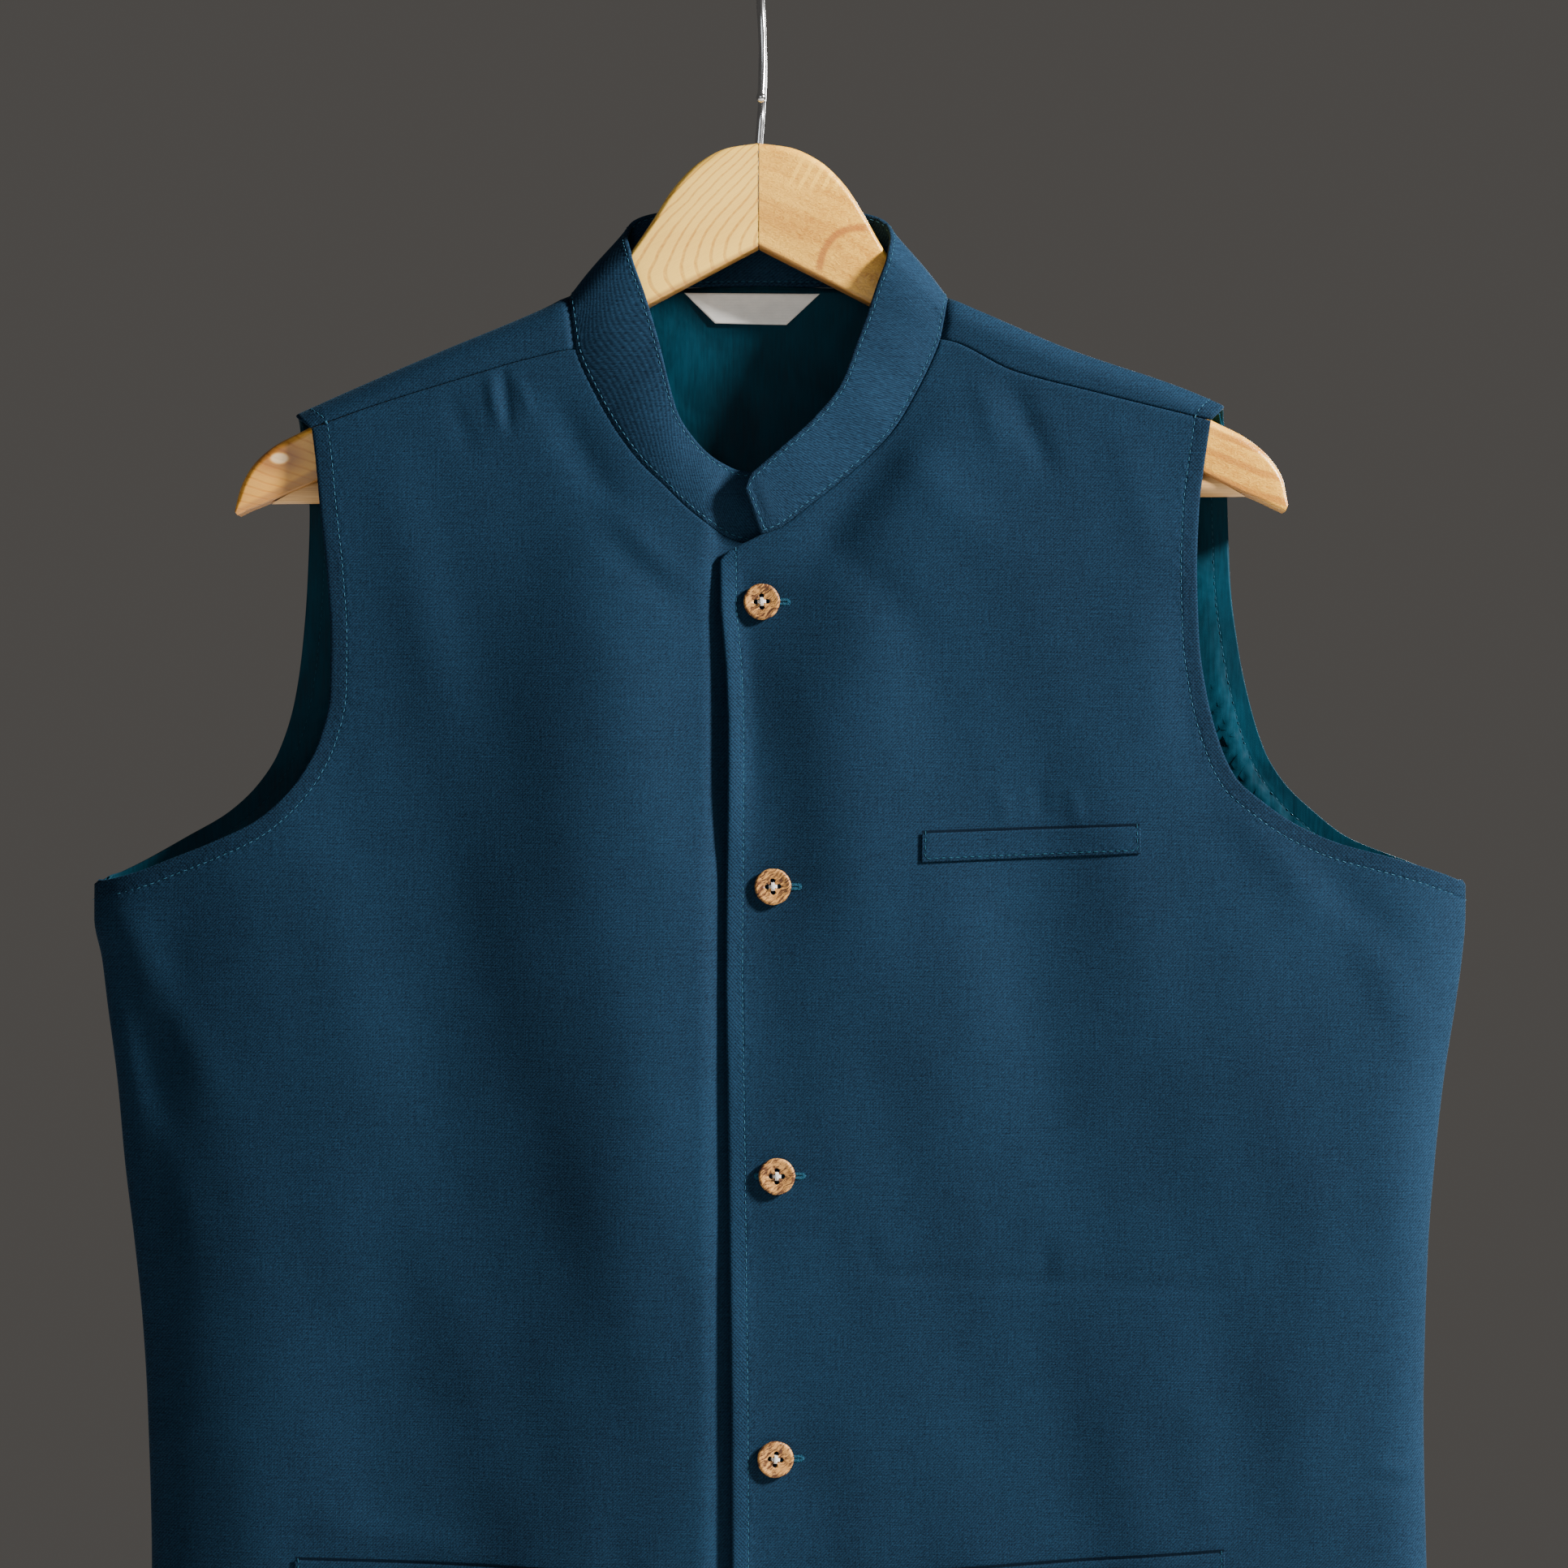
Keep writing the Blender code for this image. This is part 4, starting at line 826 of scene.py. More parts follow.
def cloth_finish(name, dark, light, stitch_inset):
    """Matt twill with slubs, with painted shade in its pressed-in stitch groove and in the pocket mouths."""
    finish = Finish(name, 0.88, {"Sheen Weight": 0.03, "Sheen Roughness": 0.45,
                                 "Sheen Tint": (0.3, 0.65, 1.0, 1.0), "Specular IOR Level": 0.06})
    u, v, rim = finish.split(finish.attribute("cloth"))
    yarn = finish.noise(finish.vector(u / 1.3, v / 0.8, 3.0), 1.0, 3.0)
    twill = finish.sine((u + v * 0.9) * (TAU / 1.36) + yarn * 5.0)
    weft = finish.sine(v * (TAU / 1.1) + finish.sine(u * (TAU / 1.7)) * 1.2)
    speck = finish.rise(finish.noise(finish.vector(u / 0.7, v / 0.7, 6.0), 1.0, 2.0), 0.58, 0.74)
    slub = finish.noise(finish.vector(u / 9.0, v / 0.6, 0.0), 1.0, 3.0)
    long_slub = finish.noise(finish.vector(u / 34.0, v / 0.9, 4.0), 1.0, 2.0)
    warp = finish.noise(finish.vector(u / 0.55, v / 16.0, 9.0), 1.0, 2.0)
    mottle = finish.noise(finish.vector(u / 50.0, v / 70.0, 0.0), 1.0, 2.0)
    pale = finish.rise(slub, 0.64, 0.78)
    deep = finish.rise(1.0 - slub, 0.64, 0.78)
    away = abs(rim - stitch_inset)
    groove_with_shade = 1.0 - finish.rise(away, 0.0, 1.0)
    band = 1.0 - finish.rise(rim, stitch_inset - 0.9, stitch_inset + 0.4)
    worn = 1.0 - finish.rise(rim, 0.0, 1.2)
    placket = 1.0 - finish.rise(abs(u), 18.0, 26.0)
    facing = band * (0.5 + placket * 0.5)
    bias = finish.sine((u - v * 0.9) * (TAU / 1.5) + yarn * 3.0)
    tone = 0.44 + twill * 0.14 + bias * facing * 0.2 + weft * 0.03 + (yarn - 0.5) * 0.8 + speck * 0.4
    tone = tone + (slub - 0.5) * 0.3 + (long_slub - 0.5) * 0.2 + (warp - 0.5) * 0.3 + (mottle - 0.5) * 0.25
    # Painted shade: the cloth is darker in the pressed-in stitch groove.
    tone = tone + pale * 0.12 - deep * 0.2 - groove_with_shade * 0.05 + worn * 0.06
    # Painted shade: the cloth is darker along the slit of each pocket mouth.
    tone = tone + band * (placket * 0.2 - 0.12) - pocket_mouth_shade(finish, u, v) * 0.8
    finish.paint(finish.mix(finish.rise(tone, -0.1, 1.1), dark, light))
    finish.polish(0.82 + (yarn - 0.5) * 0.2 + groove_with_shade * 0.08)
    height = twill * 0.018 + weft * 0.006 + (yarn - 0.5) * 0.12 + (slub - 0.5) * 0.14 + (warp - 0.5) * 0.05
    pucker = finish.noise(finish.vector(u / 3.2, v / 3.2, 1.0), 1.0, 1.0)
    near = 1.0 - finish.rise(away, 0.5, 5.0)
    finish.relief(height - groove_with_shade * 0.08 + band * 0.05 + (pucker - 0.5) * near * 0.5)
    return finish.material


def pocket_mouth_shade(finish, u, v):
    """Painted shade: 1 along the narrow slit above each welt, where the pocket mouth lies."""
    total = 0.0
    for corners in WELTS.values():
        x1, drop1 = corners[0]
        x2, drop2 = corners[1]
        away = abs(v - (u - x1) * ((drop2 - drop1) / (x2 - x1)) - drop1 + MOUTH_ABOVE)
        half = abs(x2 - x1) / 2.0
        span = 1.0 - finish.rise(abs(u - (x1 + x2) / 2.0), half - 0.8, half)
        total = total + (1.0 - finish.rise(away, 0.3, 0.8)) * span
    return total


def lining_finish():
    """Smooth satin lining with small creases, with painted shade in their hollows and in its stitch groove.
    """
    finish = Finish("lining_satin", 0.6, {"Specular IOR Level": 0.08})
    u, v, rim = finish.split(finish.attribute("cloth"))
    threads = finish.sine(u * (TAU / 0.5)) * finish.sine(v * (TAU / 0.5))
    streak = finish.noise(finish.vector(u / 1.1, v / 12.0, 2.0), 1.0, 2.0)
    crease_with_shade = finish.noise(finish.vector(u / 26.0, v / 38.0, 0.0), 1.0, 3.0, 0.8)
    groove_with_shade = 1.0 - finish.rise(abs(rim - TOPSTITCH_INSET), 0.0, 0.9)
    # Painted shade: the tone is darker in the hollows of the creases and in the stitch groove.
    tone = 0.5 + threads * 0.05 + (streak - 0.5) * 0.6 + (crease_with_shade - 0.5) * 0.8 - groove_with_shade * 0.1
    finish.paint(finish.mix(finish.rise(tone, 0.0, 1.0), *LINING_COLOURS))
    finish.polish(0.58 + (streak - 0.5) * 0.25)
    finish.relief(threads * 0.008 + (streak - 0.5) * 0.04 + (crease_with_shade - 0.5) * 1.1 - groove_with_shade * 0.06)
    return finish.material


def thread_finish(name, dark, light, pitch):
    """Twisted sewing thread."""
    finish = Finish(name, 0.7, {"Specular IOR Level": 0.2})
    x, y, z = finish.split(finish.place())
    ply = finish.sine((x + z + y * 0.7) * (TAU / pitch))
    fuzz = finish.noise(finish.place(), 3.0)
    finish.paint(finish.mix(finish.rise(ply * 0.4 + fuzz, 0.1, 0.9), dark, light))
    finish.relief(ply * 0.04)
    return finish.material


def label_finish():
    """Bare white woven tape with a fine rib and pressed ends, with painted shade along its edges."""
    finish = Finish("label_tape", 0.62, {"Sheen Weight": 0.2})
    u, v, rim = finish.split(finish.attribute("cloth"))
    rib = finish.sine(v * (TAU / 0.5))
    threads = finish.sine(u * (TAU / 0.4)) * rib
    soil = finish.noise(finish.vector(u / 9.0, v / 5.0, 0.0), 1.0, 3.0)
    edge = 1.0 - finish.rise(rim, 0.0, 0.9)
    # Painted shade: the tape is darker along its pressed edges.
    tone = 0.6 + threads * 0.1 + rib * 0.08 + (soil - 0.5) * 0.8 - edge * 0.35
    finish.paint(finish.mix(finish.rise(tone, 0.0, 1.0), *LABEL_COLOURS))
    finish.relief(threads * 0.02 + rib * 0.015 - edge * 0.08)
    return finish.material


def shell_finish():
    """Coconut shell: brown with pale and dark fibres and pits, each button its own."""
    finish = Finish("coconut_shell", 0.5, {"Specular IOR Level": 0.45})
    place = finish.place()
    x, y, z = finish.split(place)
    run = x * 0.8 + z * 0.6
    across = z * 0.8 - x * 0.6
    warp = finish.noise(place, 0.22, 3.0)
    fibre = finish.noise(finish.vector(run / 3.4 + warp * 2.4, across / 0.7 + warp * 5.0, 0.0), 1.0, 4.0)
    patch = finish.noise(finish.vector(run / 6.0, across / 4.0, 2.0), 1.0, 3.0, 1.2)
    pit = finish.rise(finish.noise(finish.vector(run / 1.4, across / 0.35, 5.0), 1.0, 2.0), 0.62, 0.72)
    tone = 0.5 + (fibre - 0.5) * 3.4 + (patch - 0.5) * 2.4
    colour = finish.mix(finish.rise(tone, 0.0, 1.0), *SHELL_COLOURS)
    finish.paint(finish.mix(pit * 0.9, colour, (0.04, 0.013, 0.005)))
    finish.polish(0.46 + (fibre - 0.5) * 0.4)
    finish.relief((fibre - 0.5) * 0.3 - pit * 0.2)
    return finish.material


def under_edge_shade(finish, x, z):
    """1 along the arms' under edges, whose line runs down evenly from the mitre."""
    above = abs(x) * UNDER_EDGE_SLOPE + UNDER_EDGE_DROP + z
    return (1.0 - finish.rise(above, 0.2, 2.6)) * 0.7


def left_wood_finish():
    """Pale wood whose grain arches open to the mitre, with a knot near the tip."""
    finish = Finish("pale_wood", 0.42, {"Coat Weight": 0.12, "Coat Roughness": 0.25})
    place = finish.place()
    x, y, z = finish.split(place)
    sway = finish.noise(place, 0.018, 3.0)
    along = x * 0.88 + (z + 110.0) * 0.47
    across = (z + 110.0) * 0.88 - x * 0.47
    above = abs(z + 110.0 - x * 0.26)
    arch = abs(x) + above ** 1.6 * 0.112 + (sway - 0.5) * 9.0 + y * 0.3
    ring = finish.sine(arch * (TAU / 6.4) + finish.noise(place, 0.045, 2.0) * 5.0)
    line = finish.rise(ring, 0.5, 1.0)
    pore = finish.noise(finish.vector(along / 9.0, across / 0.5, y / 0.5), 1.0, 3.0)
    dash = finish.noise(finish.vector(arch / 0.9, (x + z) / 2.2, y), 1.0, 2.0)
    broad = finish.noise(finish.vector(along / 60.0, across / 14.0, y / 14.0), 1.0, 2.0)
    tone = 0.8 - line * (0.08 + dash * 0.6) + (pore - 0.5) * 0.35 + (broad - 0.5) * 0.5
    colour = finish.mix(finish.rise(tone, 0.0, 1.0), (0.54, 0.22, 0.020), (0.98, 0.62, 0.115))
    beyond = finish.rise(0.0 - x, 150.0, 200.0)
    colour = finish.mix(beyond * 0.7, colour, (0.52, 0.19, 0.016))
    joint = (1.0 - finish.rise(abs(x), 0.25, 0.7)) * finish.rise(finish.noise(place, 0.5, 2.0), 0.42, 0.52)
    colour = finish.mix(joint * 0.8, colour, (0.08, 0.03, 0.01))
    knot_x = x + 200.0
    knot_z = z + 199.0
    knot = finish.math("SQRT", knot_x * knot_x * 0.35 + knot_z * knot_z)
    around = (1.0 - finish.rise(knot + (sway - 0.5) * 10.0, 2.5, 11.0)) * finish.rise(knot, 1.6, 3.2)
    heart = 1.0 - finish.rise(knot, 1.6, 2.6)
    colour = finish.mix(around * 0.75, colour, (0.19, 0.055, 0.015))
    colour = finish.mix(heart, colour, (0.72, 0.50, 0.27))
    finish.paint(finish.mix(under_edge_shade(finish, x, z), colour, (0.30, 0.13, 0.04)))
    finish.polish(0.36 + (pore - 0.5) * 0.25)
    finish.relief((pore - 0.5) * 0.05 - line * 0.03)
    return finish.material


def right_wood_finish():
    """Smoother wood with a reddish streak, pale ray flecks and bands at the tip."""
    finish = Finish("honey_wood", 0.38, {"Coat Weight": 0.16, "Coat Roughness": 0.2})
    place = finish.place()
    x, y, z = finish.split(place)
    sway = finish.noise(place, 0.02, 3.0)
    along = x * 0.88 - (z + 110.0) * 0.47
    across = (z + 110.0) * 0.88 + x * 0.47
    bands = finish.sine((across + (sway - 0.5) * 16.0) * (TAU / 6.5))
    pore = finish.noise(finish.vector(along / 16.0, across / 0.55, y / 0.5), 1.0, 3.0)
    broad = finish.noise(finish.vector(along / 50.0, across / 12.0, y / 12.0), 1.0, 2.0)
    curl = finish.noise(finish.vector(x / 2.2, y / 2.2, z / 1.2), 1.0, 2.0, 1.6)
    ray = finish.rise(finish.sine((x * 0.88 - z * 0.47) * (TAU / 4.3) + sway * 5.0), 0.1, 0.9)
    head = (1.0 - finish.rise(abs(x - 25.0), 7.0, 14.0)) * (1.0 - finish.rise(abs(z + 80.4), 3.0, 8.0))
    tone = 0.58 + bands * 0.05 + (pore - 0.5) * 0.25 + (curl - 0.5) * 0.8 + (broad - 0.5) * 0.9
    tone = tone + ray * head * 0.7
    colour = finish.mix(finish.rise(tone, 0.0, 1.0), (0.46, 0.165, 0.012), (0.95, 0.53, 0.070))
    ring_x = x - 43.3
    ring_z = z + 120.3
    bend = finish.math("SQRT", ring_x * ring_x + ring_z * ring_z) - 17.3 + (sway - 0.5) * 5.0
    bend = bend + (curl - 0.5) * 1.6
    streak = (1.0 - finish.rise(abs(bend), 0.7, 2.3)) * (1.0 - finish.rise(x, 43.0, 49.0))
    streak = streak * finish.rise(z, -123.0, -119.0)
    colour = finish.mix(streak * 0.75, colour, (0.36, 0.105, 0.018))
    tip = finish.rise(x, 172.0, 196.0)
    tip_bands = finish.rise(finish.sine((x * 0.42 + z + (sway - 0.5) * 9.0) * (TAU / 8.5)), 0.1, 0.9)
    colour = finish.mix(tip * tip_bands * 0.7, colour, (0.42, 0.145, 0.018))
    finish.paint(finish.mix(under_edge_shade(finish, x, z), colour, (0.30, 0.13, 0.04)))
    finish.polish(0.33 + (pore - 0.5) * 0.22)
    finish.relief((pore - 0.5) * 0.04 + (curl - 0.5) * 0.22)
    return finish.material


def bar_finish():
    """Plain pale dowel."""
    finish = Finish("dowel_wood", 0.5)
    place = finish.place()
    x, y, z = finish.split(place)
    pore = finish.noise(finish.vector(x / 24.0, y / 0.6, z / 0.6), 1.0, 3.0)
    broad = finish.noise(finish.vector(x / 90.0, y / 6.0, z / 6.0), 1.0, 2.0)
    tone = 0.5 + (pore - 0.5) * 0.8 + (broad - 0.5) * 0.8
    finish.paint(finish.mix(finish.rise(tone, 0.0, 1.0), (0.40, 0.19, 0.06), (0.78, 0.49, 0.20)))
    finish.relief((pore - 0.5) * 0.05)
    return finish.material


def steel_finish():
    """Bright drawn wire."""
    finish = Finish("hook_steel", 0.16, {"Metallic": 1.0})
    place = finish.place()
    x, y, z = finish.split(place)
    draw = finish.noise(finish.vector(x / 0.25, y / 9.0, z / 9.0), 1.0, 2.0)
    finish.paint(finish.mix(finish.rise(draw, 0.3, 0.7), (0.55, 0.56, 0.58), (0.80, 0.81, 0.83)))
    finish.polish(0.14 + draw * 0.12)
    return finish.material


# The body's surface

side_left = smooth_curve(SIDE_SEAM["drop"], SIDE_SEAM["left"])
side_right = smooth_curve(SIDE_SEAM["drop"], SIDE_SEAM["right"])
ridge_drop = smooth_curve(RIDGE["x"], RIDGE["drop"])
shoulder_seam_drop = smooth_curve(SHOULDER_SEAM["x"], SHOULDER_SEAM["drop"])
front_middle = smooth_curve(DEPTH["drop"], DEPTH["front"])
back_middle = smooth_curve(DEPTH["drop"], DEPTH["back"])
edge_lift = smooth_curve(EDGE_LIFTS["drop"], EDGE_LIFTS["lift"])
stations = np.arange(len(COLLAR["seam_x"]))
neck_x = smooth_curve(stations, COLLAR["seam_x"])
neck_drop = smooth_curve(stations, COLLAR["seam_drop"])


def section_round(x, drop):
    """How deep a section is at x, as a share of its middle: a flattened oval."""
    left = side_left(drop)
    right = side_right(drop)
    reach = np.where(x < BUTTON_LINE, (BUTTON_LINE - x) / (BUTTON_LINE - left),
                     (x - BUTTON_LINE) / (right - BUTTON_LINE))
    reach = np.clip(np.abs(reach), 0.0, 1.0)
    return (1.0 - reach ** ROUND_POWER) ** (1.0 / ROUND_POWER)


def shoulder_round(x, drop):
    """The rounding of the cloth over the hanger, 0 on the top line and 1 below it."""
    below = np.clip((drop - ridge_drop(x)) / SHOULDER_ROUND, 0.0, 1.0)
    return np.sqrt(1.0 - (1.0 - below) ** 2)


def fold_height(side, x, drop):
    """The height of the soft folds of one side of the body."""
    total = np.zeros(np.broadcast(x, drop).shape)
    for i in np.flatnonzero(FOLDS["side"] == side):
        top = FOLDS["top_drop"][i]
        end = FOLDS["end_drop"][i]
        centre = FOLDS["x"][i] + FOLDS["lean"][i] * (drop - top)
        across = np.exp(-((x - centre) / FOLDS["half_width"][i]) ** 2)
        along = smoothstep((drop - top) / FOLD_FADE) * smoothstep((end + FOLD_FADE - drop) / FOLD_FADE)
        total = total + FOLDS["height"][i] * across * along
    return total


def crease_height(side, x, drop):
    """The height of the listed creases, each fading out past its two ends."""
    total = np.zeros(np.broadcast(x, drop).shape)
    for i in np.flatnonzero(CREASES["side"] == side):
        start = np.array([CREASES["x1"][i], CREASES["drop1"][i]])
        run = np.array([CREASES["x2"][i], CREASES["drop2"][i]]) - start
        width = CREASES["half_width"][i]
        length = np.linalg.norm(run)
        run = run / length
        along = (x - start[0]) * run[0] + (drop - start[1]) * run[1]
        across = (drop - start[1]) * run[0] - (x - start[0]) * run[1]
        fade = width + CREASE_FADE * length
        ends = smoothstep((along + fade) / (2.0 * fade)) * smoothstep((length + fade - along) / (2.0 * fade))
        total = total + CREASES["height"][i] * np.exp(-(across / width) ** 2) * ends
    return total


def ripple_height(side, x, drop):
    """Slow waves that keep the cloth from lying dead flat."""
    total = np.zeros(np.broadcast(x, drop).shape)
    for i in range(len(RIPPLES["height"])):
        turn = x / RIPPLES["x_per_turn"][i] + drop / RIPPLES["drop_per_turn"][i]
        total = total + RIPPLES["height"][i] * np.sin(TAU * turn + RIPPLES["phase"][i] + side)
    return total * smoothstep((drop - RIPPLE_START) / FOLD_FADE)


def button_pull(x, drop):
    """The cloth drawn in round each button."""
    total = np.zeros(np.broadcast(x, drop).shape)
    for button_x, button_drop in zip(BUTTONS["x"], BUTTONS["drop"]):
        reach = ((x - button_x) / BUTTON_PULL_WIDTH) ** 2 + ((drop - button_drop) / BUTTON_PULL_HEIGHT) ** 2
        total = total - BUTTON_PULL * np.exp(-reach)
    return total


def cloth_relief(side, x, drop):
    return fold_height(side, x, drop) + crease_height(side, x, drop) + ripple_height(side, x, drop)


def front_y(x, drop):
    """The outer surface of the front of the body."""
    height = front_middle(drop) + cloth_relief(-1, x, drop) + button_pull(x, drop)
    return -height * section_round(x, drop) * shoulder_round(x, drop)


def back_y(x, drop):
    """The outer surface of the back of the body, up to the back neck seam."""
    height = (back_middle(drop) + cloth_relief(1, x, drop)) * section_round(x, drop)
    inside = np.clip(np.abs(x) / NECK_POINT, 0.0, 1.0)
    neck = np.sqrt(1.0 - inside ** NECK_ROUND_POWER)
    return height * (neck + (1.0 - neck) * shoulder_round(x, drop))


def underlap_y(x, drop, edge_x):
    """The underlap front steps back behind the overlap."""
    step = smoothstep((x - UNDERLAP_STEP_START) / UNDERLAP_STEP_WIDTH)
    return front_y(x, drop) + UNDERLAP_STEP * step


def overlap_y(x, drop, edge_x):
    """The overlap front stands a little off along its front edge."""
    lift = 1.0 - smoothstep((x - edge_x) / EDGE_LIFT_WIDTH)
    below_neck = smoothstep((drop - EDGE_LIFT_START) / EDGE_LIFT_FADE)
    return front_y(x, drop) - edge_lift(drop) * lift * below_neck


def overlap_edge(drop):
    """X of the overlap's front edge at one height."""
    below = OVERLAP_ROWS["station"] < 0.0
    return np.interp(drop, OVERLAP_ROWS["inner_drop"][below], OVERLAP_ROWS["inner_x"][below])


# Walls made from a grid of points

def graded(length, count, start_scale=1.0, end_scale=1.0):
    """Places along a length, close together at both ends and even between them."""
    head = np.array(EDGE_STEPS) * start_scale
    tail = length - np.array(EDGE_STEPS[::-1]) * end_scale
    middle = np.linspace(head[-1], tail[0], count + 2)[1:-1]
    return np.concatenate([head, middle, tail])


def grid_normals(points, sign):
    """Unit normals of a grid from its differences down and across."""
    down = unit(np.gradient(points, axis=0))
    across = unit(np.gradient(points, axis=1))
    return unit(np.cross(down, across)) * sign


def run_lengths(points, axis):
    """Distance of each point from both ends of its row or column."""
    steps = np.linalg.norm(np.diff(points, axis=axis), axis=-1)
    zero = np.zeros_like(np.take(steps, [0], axis=axis))
    run = np.concatenate([zero, np.cumsum(steps, axis=axis)], axis=axis)
    return np.minimum(run, np.take(run, [-1], axis=axis) - run)


def wall_sides(points, normals, thickness, rim):
    """The outer and inner points of a wall whose edge is rounded off."""
    reach = np.clip(rim / EDGE_ROUND, 0.0, 1.0)
    full = EDGE_THIN + (1.0 - EDGE_THIN) * np.sqrt(1.0 - (1.0 - reach) ** 2)
    trim = (normals * (thickness / 2.0)) * (1.0 - full)[..., None]
    return points - trim, points - normals * thickness + trim


def rim_distance(points, edge):
    """The distance of every grid point to a line of edge points."""
    flat = points.reshape(-1, 3)
    best = np.full(len(flat), 1e9)
    for start, end in zip(edge[:-1], edge[1:]):
        run = end - start
        size = max(float(run @ run), 1e-9)
        share = np.clip((flat - start) @ run / size, 0.0, 1.0)
        best = np.minimum(best, np.linalg.norm(flat - start - share[:, None] * run, axis=1))
    return best.reshape(points.shape[:2])


def add_shell(name, outer, inner, used, cloth, finishes):
    """A closed wall between two grids. The second finish, where given, is its inner side's."""
    number = np.full(used.shape, -1)
    number[used] = np.arange(int(used.sum()))
    count = int(used.sum())
    vertices = np.concatenate([outer[used], inner[used]]) * MM
    ring = [number[:-1, :-1], number[:-1, 1:], number[1:, 1:], number[1:, :-1]]
    quads = np.stack(ring, axis=-1).reshape(-1, 4)
    quads = quads[(quads >= 0).all(axis=1)]
    edges = np.concatenate([quads[:, [k, (k + 1) % 4]] for k in range(4)])
    present = set(map(tuple, edges.tolist()))
    rim = np.array([edge for edge in edges.tolist() if (edge[1], edge[0]) not in present])
    rim_faces = np.stack([rim[:, 1], rim[:, 0], rim[:, 0] + count, rim[:, 1] + count], axis=-1)
    faces = np.concatenate([quads, quads[:, ::-1] + count, rim_faces])
    mesh = bpy.data.meshes.new(name + "_cloth")
    mesh.from_pydata(vertices.tolist(), [], faces.tolist())
    for finish in finishes:
        mesh.materials.append(finish)
    slots = np.zeros(len(faces), dtype=np.int32)
    slots[len(quads):2 * len(quads)] = len(finishes) - 1
    mesh.polygons.foreach_set("material_index", slots)
    layer = mesh.attributes.new("cloth", "FLOAT_VECTOR", "POINT")
    layer.data.foreach_set("vector", np.concatenate([cloth[used], cloth[used]]).astype(np.float32).ravel())
    mesh.shade_smooth()
    corners = vertices[faces]
    volume = np.einsum("ij,ij->i", corners[:, 0], np.cross(corners[:, 1], corners[:, 2])).sum()
    volume += np.einsum("ij,ij->i", corners[:, 0], np.cross(corners[:, 2], corners[:, 3])).sum()
    if volume < 0.0:
        mesh.flip_normals()
    mesh.update()
    return link(bpy.data.objects.new(name + "_cloth", mesh))


def dress(item, nodes=()):
    """Put a finished piece on the frame."""
    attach(item, "root")
    if nodes:
        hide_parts(*nodes)


def lay_sheet(item, name):
    dress(item, (name,))
    width, length, area = CUTS[name]


# The panels

def front_lines(rows, side):
    """Dense ends of a front's rows, and how far each row is from the shoulder seam."""
    table_index = np.arange(len(rows["outer_drop"]))
    fine = np.linspace(0.0, table_index[-1], FINE_SAMPLES)

    def ends(at):
        outer_drop = np.interp(at, table_index, rows["outer_drop"])
        edge = smooth_curve(FRONT_EDGE["drop"], FRONT_EDGE["left" if side < 0 else "right"])
        seam = side_left if side < 0 else side_right
        outer_x = np.where(outer_drop < UNDERARM_DROP, edge(outer_drop), seam(outer_drop))
        last = int(np.sum(rows["station"] >= 0.0)) - 1
        station = np.interp(at, table_index[:last + 1], rows["station"][:last + 1])
        inner_x = np.where(rows["station"] < 0.0, rows["inner_x"], neck_x(rows["station"]))
        inner_drop = np.where(rows["station"] < 0.0, rows["inner_drop"], neck_drop(rows["station"]))
        on_neck = at <= last
        x = np.where(on_neck, neck_x(station), np.interp(at, table_index, inner_x))
        drop = np.where(on_neck, neck_drop(station), np.interp(at, table_index, inner_drop))
        return np.stack([outer_x, outer_drop], -1), np.stack([x, drop], -1)

    outer, inner = ends(fine)
    outer_moves = np.linalg.norm(np.diff(outer, axis=0), axis=1)
    inner_moves = np.linalg.norm(np.diff(inner, axis=0), axis=1)
    moves = np.maximum(outer_moves, inner_moves)
    run = np.concatenate([[0.0], np.cumsum(moves)])
    places = graded(run[-1], int(run[-1] / GRID_STEP))
    outer, inner = ends(np.interp(places, run, fine))
    return outer, inner, places


def edge_scales(edge, direction):
    """How much wider the steps of a row are where it meets an edge at a slant."""
    tangent = unit(np.gradient(edge, axis=0))
    slant = np.abs(tangent[:, 0] * direction[:, 1] - tangent[:, 1] * direction[:, 0])
    scale = np.clip(1.0 / np.maximum(slant, 0.05), 1.0, MAX_EDGE_SCALE)
    padded = np.pad(scale, SCALE_SMOOTHING, mode="edge")
    window = np.ones(2 * SCALE_SMOOTHING + 1) / (2 * SCALE_SMOOTHING + 1)
    return np.convolve(padded, window, mode="valid")


def shoulder_seam_line(side, share):
    """The shoulder seam from its tip to the neck, seen from the front."""
    tip, neck = (0, SHOULDER_SEAM_NECK_LEFT) if side < 0 else (-1, SHOULDER_SEAM_NECK_RIGHT)
    x = SHOULDER_SEAM["x"][tip] + (SHOULDER_SEAM["x"][neck] - SHOULDER_SEAM["x"][tip]) * share
    return x, shoulder_seam_drop(x)


def front_points(rows, side, surface):
    outer, inner, places = front_lines(rows, side)
    length = np.linalg.norm(inner - outer, axis=1)
    direction = (inner - outer) / length[:, None]
    start_scale = edge_scales(outer, direction)
    end_scale = edge_scales(inner, direction)
    share = np.array([graded(length[i], FRONT_MIDDLE_COLUMNS, start_scale[i], end_scale[i]) / length[i]
                      for i in range(len(length))])
    x = outer[:, :1] + (inner[:, :1] - outer[:, :1]) * share
    drop = outer[:, 1:] + (inner[:, 1:] - outer[:, 1:]) * share
    seam_drop = shoulder_seam_line(side, share)[1]
    fade = 1.0 - smoothstep(places / SEAM_BEND_FADE)[:, None]
    straight = outer[0, 1] + (inner[0, 1] - outer[0, 1]) * share
    drop = drop + (seam_drop + SHOULDER_SEAM_GAP / 2.0 - straight) * fade
    points = stack(x, surface(x, drop, inner[:, :1]), drop)
    on_side = outer[:, 1] >= UNDERARM_DROP
    points[..., 1] = np.minimum(points[..., 1], -SEAM / 2.0)
    points[on_side, 0, 1] = -SEAM / 2.0
    return points, on_side


